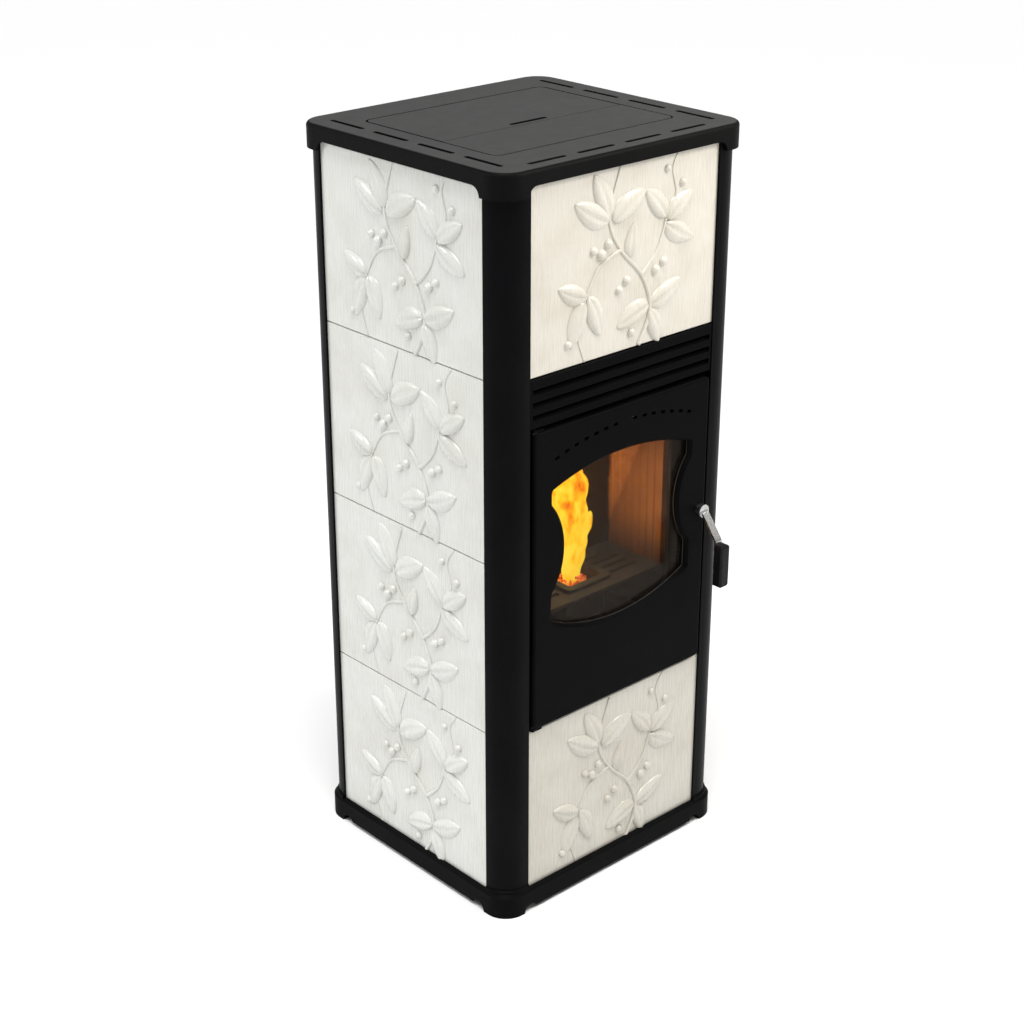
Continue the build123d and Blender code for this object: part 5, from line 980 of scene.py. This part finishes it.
@dataclass
class Fire:
    """What burns in the pot: flames over a bed of glowing pellets.

    A flame is its foot's place from the middle of the pot, its height and its width.
    """

    middle: tuple[float, float] = (0.0, -0.120)
    bed: float = 0.494
    lean: tuple[float, float] = (-0.006, 0.004)
    sway: float = 0.008
    flutter: float = 0.004
    drift: float = 0.007
    gathered: float = 0.30
    spreads: float = 1.25
    foot_share: float = 0.42
    widens: float = 1.15
    tapers: float = 0.75
    ragged: tuple[float, float] = (0.16, 0.10)
    flame_steps: int = 30
    flame_sides: int = 14
    flame_flat: float = 0.75
    tip: float = 0.0004
    flames: tuple[tuple[float, float, float, float], ...] = (
        (0.000, 0.000, 0.216, 0.026), (-0.014, 0.006, 0.206, 0.022), (0.013, 0.002, 0.196, 0.020),
        (0.006, 0.012, 0.212, 0.022), (-0.006, -0.012, 0.176, 0.019), (0.019, -0.012, 0.128, 0.013),
        (-0.018, -0.006, 0.190, 0.020), (0.021, 0.004, 0.164, 0.014),
    )
    pellet_radius: float = 0.003
    pellet_half: float = 0.007
    pellet_sides: int = 8
    layers: int = 4
    lowest_layer: int = 26
    fewer: int = 6
    heap_reach: float = 0.031
    heap_shrinks: float = 0.006
    heap_sunk: float = 0.004
    layer_pitch: float = 0.0048

    def tongue(self, spot: Sequence[float], number: int, finish: bpy.types.Material) -> None:
        """Model one flame as a bar that swells, thins out and leans as it rises.

        Args:
            spot: its foot's place, its height and its width.
            number: its place in the row of flames, which sets its bends.
            finish: its material.
        """
        shape = Shape()
        dx, dy, tall, wide = spot
        coarse, fine = self.ragged
        path, radii = [], []
        for n in range(self.flame_steps + 1):
            t = n / self.flame_steps
            sway = self.sway * math.sin(3.6 * t + number * 1.7) + self.flutter * math.sin(11 * t + number)
            drift = self.drift * math.cos(4.1 * t + number * 2.3)
            apart = self.gathered + self.spreads * t
            path.append(Vector((
                self.middle[0] + dx * apart + (sway + self.lean[0]) * t,
                self.middle[1] + dy * apart + (drift + self.lean[1]) * t, self.bed + tall * t)))
            swell = (self.foot_share + self.widens * t) * max(1 - t ** 4, 0.0) ** self.tapers
            ragged = 1.0 + coarse * math.sin(9 * t + number * 2) + fine * math.sin(26 * t + number * 5)
            radii.append(max(wide * swell * ragged, self.tip))
        shape.sweep(path, radii, Vector((1.0, 0.2, 0.0)), self.flame_sides, self.flame_flat)
        shape.piece(f"flame_{number + 1}", finish, "burn_pot")

    def embers(self, finish: bpy.types.Material) -> None:
        """Heap the glowing pellets in layers, each a spiral.

        Args:
            finish: their material.
        """
        shape = Shape()
        for layer in range(self.layers):
            count = self.lowest_layer - self.fewer * layer
            reach = self.heap_reach - self.heap_shrinks * layer
            height = self.bed - self.heap_sunk + self.layer_pitch * layer
            for n in range(count):
                turn = n * GOLDEN_TURN + layer
                away = reach * math.sqrt((n + 0.5) / count)
                spot = Vector((
                    self.middle[0] + away * math.cos(turn), self.middle[1] + away * math.sin(turn), height))
                lean = Euler((0.5 * math.sin(7 * n + layer), 1.2 + 0.4 * math.cos(5 * n), turn * 3.1))
                along = lean.to_matrix() @ Vector((0.0, 0.0, self.pellet_half))
                ends = [spot - along, spot + along]
                shape.sweep(ends, [self.pellet_radius] * 2, Vector((0.3, 0.9, 0.1)), self.pellet_sides)
            log.info("%d pellets glow in layer %d", count, layer + 1)
        shape.piece("embers", finish, "burn_pot", smooth=False)

    def build(self, blaze: bpy.types.Material, ember: bpy.types.Material) -> None:
        """Model the bed and each flame."""
        self.embers(ember)
        for number, spot in enumerate(self.flames):
            self.tongue(spot, number, blaze)


@dataclass
class PanelScrews:
    """Round-headed screws with a cross, down both edges of the rear panel."""

    edge: float = 0.185
    panel_face: float = 0.2155
    heights: tuple[float, ...] = (0.06, 0.24, 0.42, 0.60, 0.78, 0.96, 1.14)
    radius: float = 0.0042
    height: float = 0.0022
    sunk: float = 0.0003
    corners: int = 24
    crown: float = 0.82
    rim: float = 0.34
    cross_depth: float = 0.55
    cross_waist: float = 0.36
    turned: float = 0.7

    def one(self, shape: Shape, place: Matrix, out: Vector) -> None:
        """Model one head, whose drive is a cross pressed into its crown.

        Args:
            shape: the mesh that it is added to.
            place: where it sits, and how far its cross is turned.
            out: the way that it faces.
        """
        middle = Matrix.Translation((0.0, 0.0, self.height / 2 - self.sunk))
        made = bmesh.ops.create_cone(
            shape.bm, cap_ends=True, segments=self.corners, radius1=self.radius,
            radius2=self.radius * self.crown, depth=self.height, matrix=place @ middle)
        faces = [f for v in made["verts"] for f in v.link_faces if f.normal.dot(out) > 0.9]
        faces = list(dict.fromkeys(faces))
        bmesh.ops.inset_region(shape.bm, faces=faces, thickness=self.radius * self.rim)
        for face in faces:
            centre = face.calc_center_median()
            for k, vert in enumerate(face.verts):
                arm = 1.0 if k % 6 < 2 else self.cross_waist
                vert.co = centre + (vert.co - centre) * arm - out * (self.height * self.cross_depth)

    def build(self, finish: bpy.types.Material) -> None:
        """Model all the heads as one piece.

        Args:
            finish: their metal.
        """
        shape = Shape()
        out = Vector((0.0, 1.0, 0.0))
        turn = out.to_track_quat("Z", "Y").to_matrix().to_4x4()
        spots = [(x, self.panel_face, z) for x in (-self.edge, self.edge) for z in self.heights]
        for n, spot in enumerate(spots):
            place = Matrix.Translation(spot) @ turn @ Matrix.Rotation(self.turned * n, 4, "Z")
            self.one(shape, place, out)
        shape.piece("panel_screws", finish, "root", smooth=False)


@dataclass(frozen=True)
class Lamp:
    """A soft square lamp, turned to its target."""

    name: str
    spot: Spot
    target: Spot
    size: float
    power: float
    tint: Colour

    def build(self) -> None:
        """Hang the lamp."""
        light = bpy.data.lights.new(self.name, "AREA")
        light.shape = "SQUARE"
        light.size = self.size
        light.energy = self.power
        light.color = self.tint
        made = show(self.name, light)
        made.location = self.spot
        made.rotation_euler = (Vector(self.target) - Vector(self.spot)).to_track_quat("-Z", "Y").to_euler()


@dataclass
class Studio:
    """Floor, backdrop, lights and the camera at the photograph's place."""

    eye: Spot = (-2.0254, -2.1940, 1.9096)
    heading: float = 42.395
    tilt: float = 24.027
    lens: float = 69.2
    sensor: float = 36.0
    sees_to: float = 60.0
    lamps: tuple[Lamp, ...] = (
        Lamp("front_soft", (0.95, -1.30, 2.10), (0.0, -0.2, 1.15), 0.6, 26.0, (1.0, 0.97, 0.92)),
        Lamp("left_soft", (-2.7, 1.9, 2.5), (0.0, 0.0, 0.65), 0.9, 34.0, (0.98, 1.0, 0.99)),
    )
    sky_from: Spot = (-0.26, -0.20, 1.0)
    sky_power: float = 2.55
    sky_spread: float = 30.0
    world_power: float = 0.42
    glow_spot: Spot = (0.015, -0.178, 0.63)
    glow_power: float = 1.0
    glow_tint: Colour = (1.0, 0.74, 0.44)
    glow_radius: float = 0.04
    floor_half: float = 14.0
    paper_far: float = 13.0
    paper_tall: float = 12.0
    paper_tuck: float = 0.01
    paper_sides: int = 96

    def world(self) -> None:
        """Light everything a little from all round."""
        world = bpy.data.worlds.new("studio")
        world.use_nodes = True
        back = next(n for n in world.node_tree.nodes if n.type == "BACKGROUND")
        back.inputs["Color"].default_value = (*WHITE, 1.0)
        back.inputs["Strength"].default_value = self.world_power
        bpy.context.scene.world = world

    def sky(self) -> None:
        """Light the whole floor evenly from high up, as a large ceiling of lamps does."""
        light = bpy.data.lights.new("sky_soft", "SUN")
        light.energy = self.sky_power
        light.angle = math.radians(self.sky_spread)
        show("sky_soft", light).rotation_euler = Vector(self.sky_from).to_track_quat("Z", "Y").to_euler()

    def glow(self) -> None:
        """Put the fire's own light into the chamber, in front of the flames."""
        light = bpy.data.lights.new("fire_glow", "POINT")
        light.energy = self.glow_power
        light.color = self.glow_tint
        light.shadow_soft_size = self.glow_radius
        made = show("fire_glow", light)
        made.location = self.glow_spot
        made.visible_camera = False
        made.visible_glossy = False

    def floor(self, finish: bpy.types.Material) -> None:
        """Lay the flat floor."""
        shape = Shape()
        bmesh.ops.create_grid(shape.bm, x_segments=1, y_segments=1, size=self.floor_half)
        shape.show("floor", finish)

    def backdrop(self, finish: bpy.types.Material) -> None:
        """Stand paper round the floor, which only the camera sees and which lights nothing."""
        shape = Shape()
        middle = Matrix.Translation((0.0, 0.0, self.paper_tall / 2 - self.paper_tuck))
        bmesh.ops.create_cone(
            shape.bm, cap_ends=False, segments=self.paper_sides, radius1=self.paper_far,
            radius2=self.paper_far, depth=self.paper_tall, matrix=middle)
        made = shape.show("backdrop", finish)
        made.visible_diffuse = False
        made.visible_glossy = False
        made.visible_shadow = False

    def camera(self) -> None:
        """Set the camera."""
        data = bpy.data.cameras.new("camera")
        data.lens = self.lens
        data.sensor_width = self.sensor
        data.clip_end = self.sees_to
        turn, dip = math.radians(self.heading), math.radians(self.tilt)
        ahead = Vector((math.sin(turn) * math.cos(dip), math.cos(turn) * math.cos(dip), -math.sin(dip)))
        made = show("camera", data)
        made.location = self.eye
        made.rotation_euler = ahead.to_track_quat("-Z", "Y").to_euler()
        bpy.context.scene.camera = made

    def build(self, floor: bpy.types.Material, paper: bpy.types.Material) -> None:
        """Set up the whole studio.

        Args:
            floor: the floor's finish.
            paper: the backdrop's finish.
        """
        bpy.context.scene.view_settings.view_transform = "Standard"
        self.world()
        self.floor(floor)
        self.backdrop(paper)
        for lamp in self.lamps:
            lamp.build()
        self.sky()
        self.glow()
        self.camera()
        log.info("studio with %d soft lamps", len(self.lamps))


@dataclass
class Casing:
    """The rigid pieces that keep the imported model's shape, and the finish of each."""

    finishes: tuple[tuple[Finish, str], ...] = (
        (CastEnamel("plinth_enamel", (0.0022, 0.0022, 0.0024), (0.0045, 0.0045, 0.0045)), "base_plinth"),
        (CastEnamel(
            "post_enamel", (0.0020, 0.0020, 0.0026), (0.0034, 0.0034, 0.0040),
            gloss=0.36, dull=0.44, pebble=0.00004, shine=0.045,
        ), "post_front_left post_front_right post_rear_left post_rear_right"),
        # The cap and lid get a painted sheen on their top face.
        (CastEnamel(
            "cap_enamel", (0.0026, 0.0026, 0.0026), (0.0050, 0.0050, 0.0050),
            gloss=0.50, dull=0.62, pebble=0.00014, shine=0.06, painted_sheen_between=(1.2330, 1.2340),
        ), "top_cap hopper_lid"),
        (CastEnamel(
            "door_enamel", (0.0012, 0.0012, 0.0014), (0.0026, 0.0026, 0.0029),
            gloss=0.44, dull=0.58, pebble=0.00010,
        ), "door_casting door_frame louvre_grille hinge_brackets"),
        (TileGlaze("tile_glaze"), "tiles_left tiles_right"),
        (TileGlaze("front_tile_glaze", (0.650, 0.615, 0.540), (0.600, 0.560, 0.480)), "tile_front_top"),
        # The lower front tile wears a darker copy of the front glaze: painted shade, for the weaker light
        # that falls low on the front.
        (TileGlaze("shaded_lower_tile_glaze", (0.540, 0.518, 0.455), (0.500, 0.472, 0.405)), "tile_front_bottom"),
        (Galvanised("zinc_sheet"),
         "floor_pan side_panel_left side_panel_right smoke_cover ash_drawer pellet_hopper air_intake_pipe"),
        (BrushedMetal("turned_steel"), "lid_pins latch_tongue auger_screw igniter fan_wheel glass_clips"),
        (BrushedMetal("blackened_steel", (0.030, 0.030, 0.032), (0.060, 0.055, 0.050), dull=0.42),
         "hinge_pins"),
        (BrushedMetal("handle_steel", (0.52, 0.52, 0.515), (0.40, 0.395, 0.385), dull=0.22), "handle_lever"),
        (BrushedMetal("copper_tube", (0.80, 0.42, 0.28), (0.42, 0.20, 0.13), Grain.NONE, 0.32),
         "water_pipes"),
        (BrushedMetal("bare_brass", (0.78, 0.58, 0.29), (0.50, 0.36, 0.17), Grain.NONE, 0.34),
         "rear_fittings safety_valve"),
        (GrainedPlastic("grip_plastic"), "handle_grip"),
        (GrainedPlastic("switch_plastic", (0.016, 0.016, 0.017), (0.034, 0.034, 0.036)),
         "mains_inlet mains_rocker reset_bush reset_button"),
        (GrainedPlastic("knob_plastic", (0.52, 0.022, 0.016), (0.60, 0.07, 0.05)), "safety_valve_knob"),
        (GrainedPlastic("case_plastic", (0.50, 0.51, 0.50), (0.60, 0.61, 0.60), 0.45), "control_board"),
        (FireGlass("fire_glass"), "door_glass"),
        (BraidedRope("rope_seal"), "door_gasket glass_gasket"),
        (FiredBoard("fired_board"), "fire_lining flame_baffle"),
        (BurntIron("burnt_iron"), "burn_pot hearth_plate"),
        (Paint("stove_paint", (0.050, 0.050, 0.054), (0.12, 0.115, 0.11), 0.55),
         "boiler_body smoke_tubes pellet_chute auger_tube smoke_duct fan_housing"),
        (Paint("black_powder", (0.018, 0.018, 0.019), (0.045, 0.045, 0.046), 0.44, 0.00012),
         "rear_panel boiler_stand flue_spigot"),
        (Paint("motor_paint", (0.13, 0.135, 0.14), (0.22, 0.22, 0.22), 0.45), "auger_gearmotor fan_motor"),
        (Paint("pump_paint", (0.30, 0.025, 0.02), (0.36, 0.07, 0.05), 0.40), "circulation_pump"),
        (Paint("vessel_paint", (0.45, 0.018, 0.014), (0.50, 0.06, 0.04), 0.32), "expansion_vessel"),
    )

    def build(self) -> dict[str, bpy.types.Material]:
        """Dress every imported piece.

        Returns:
            The materials by name.
        """
        made: dict[str, bpy.types.Material] = {}
        for finish, nodes in self.finishes:
            material = made[finish.name] = finish.material()
            for node in nodes.split():
                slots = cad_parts[node].data.materials
                slots.clear()
                slots.append(material)
                log.info("%s wears %s", node, finish.name)
        return made


def main() -> None:
    """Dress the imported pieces, add the others, and set up the studio."""
    logging.basicConfig(level=logging.INFO, format="%(name)s: %(message)s")
    Studio().build(PaleFloor("pale_floor").material(), PaleBackdrop("pale_backdrop").material())
    finishes = Casing().build()
    relief = TileRelief()
    for side in (Side.LEFT, Side.RIGHT):
        relief.build(side, [finishes["tile_glaze"]] * len(relief.rows))
    # The lower front tile's relief takes the same darker glaze, its painted shade.
    relief.build(Side.FRONT, [finishes["shaded_lower_tile_glaze"], finishes["front_tile_glaze"]])
    Fire().build(Blaze("blaze").material(), GlowingPellet("glowing_pellet").material())
    PanelScrews().build(finishes["turned_steel"])


if __name__ == "__main__":
    main()
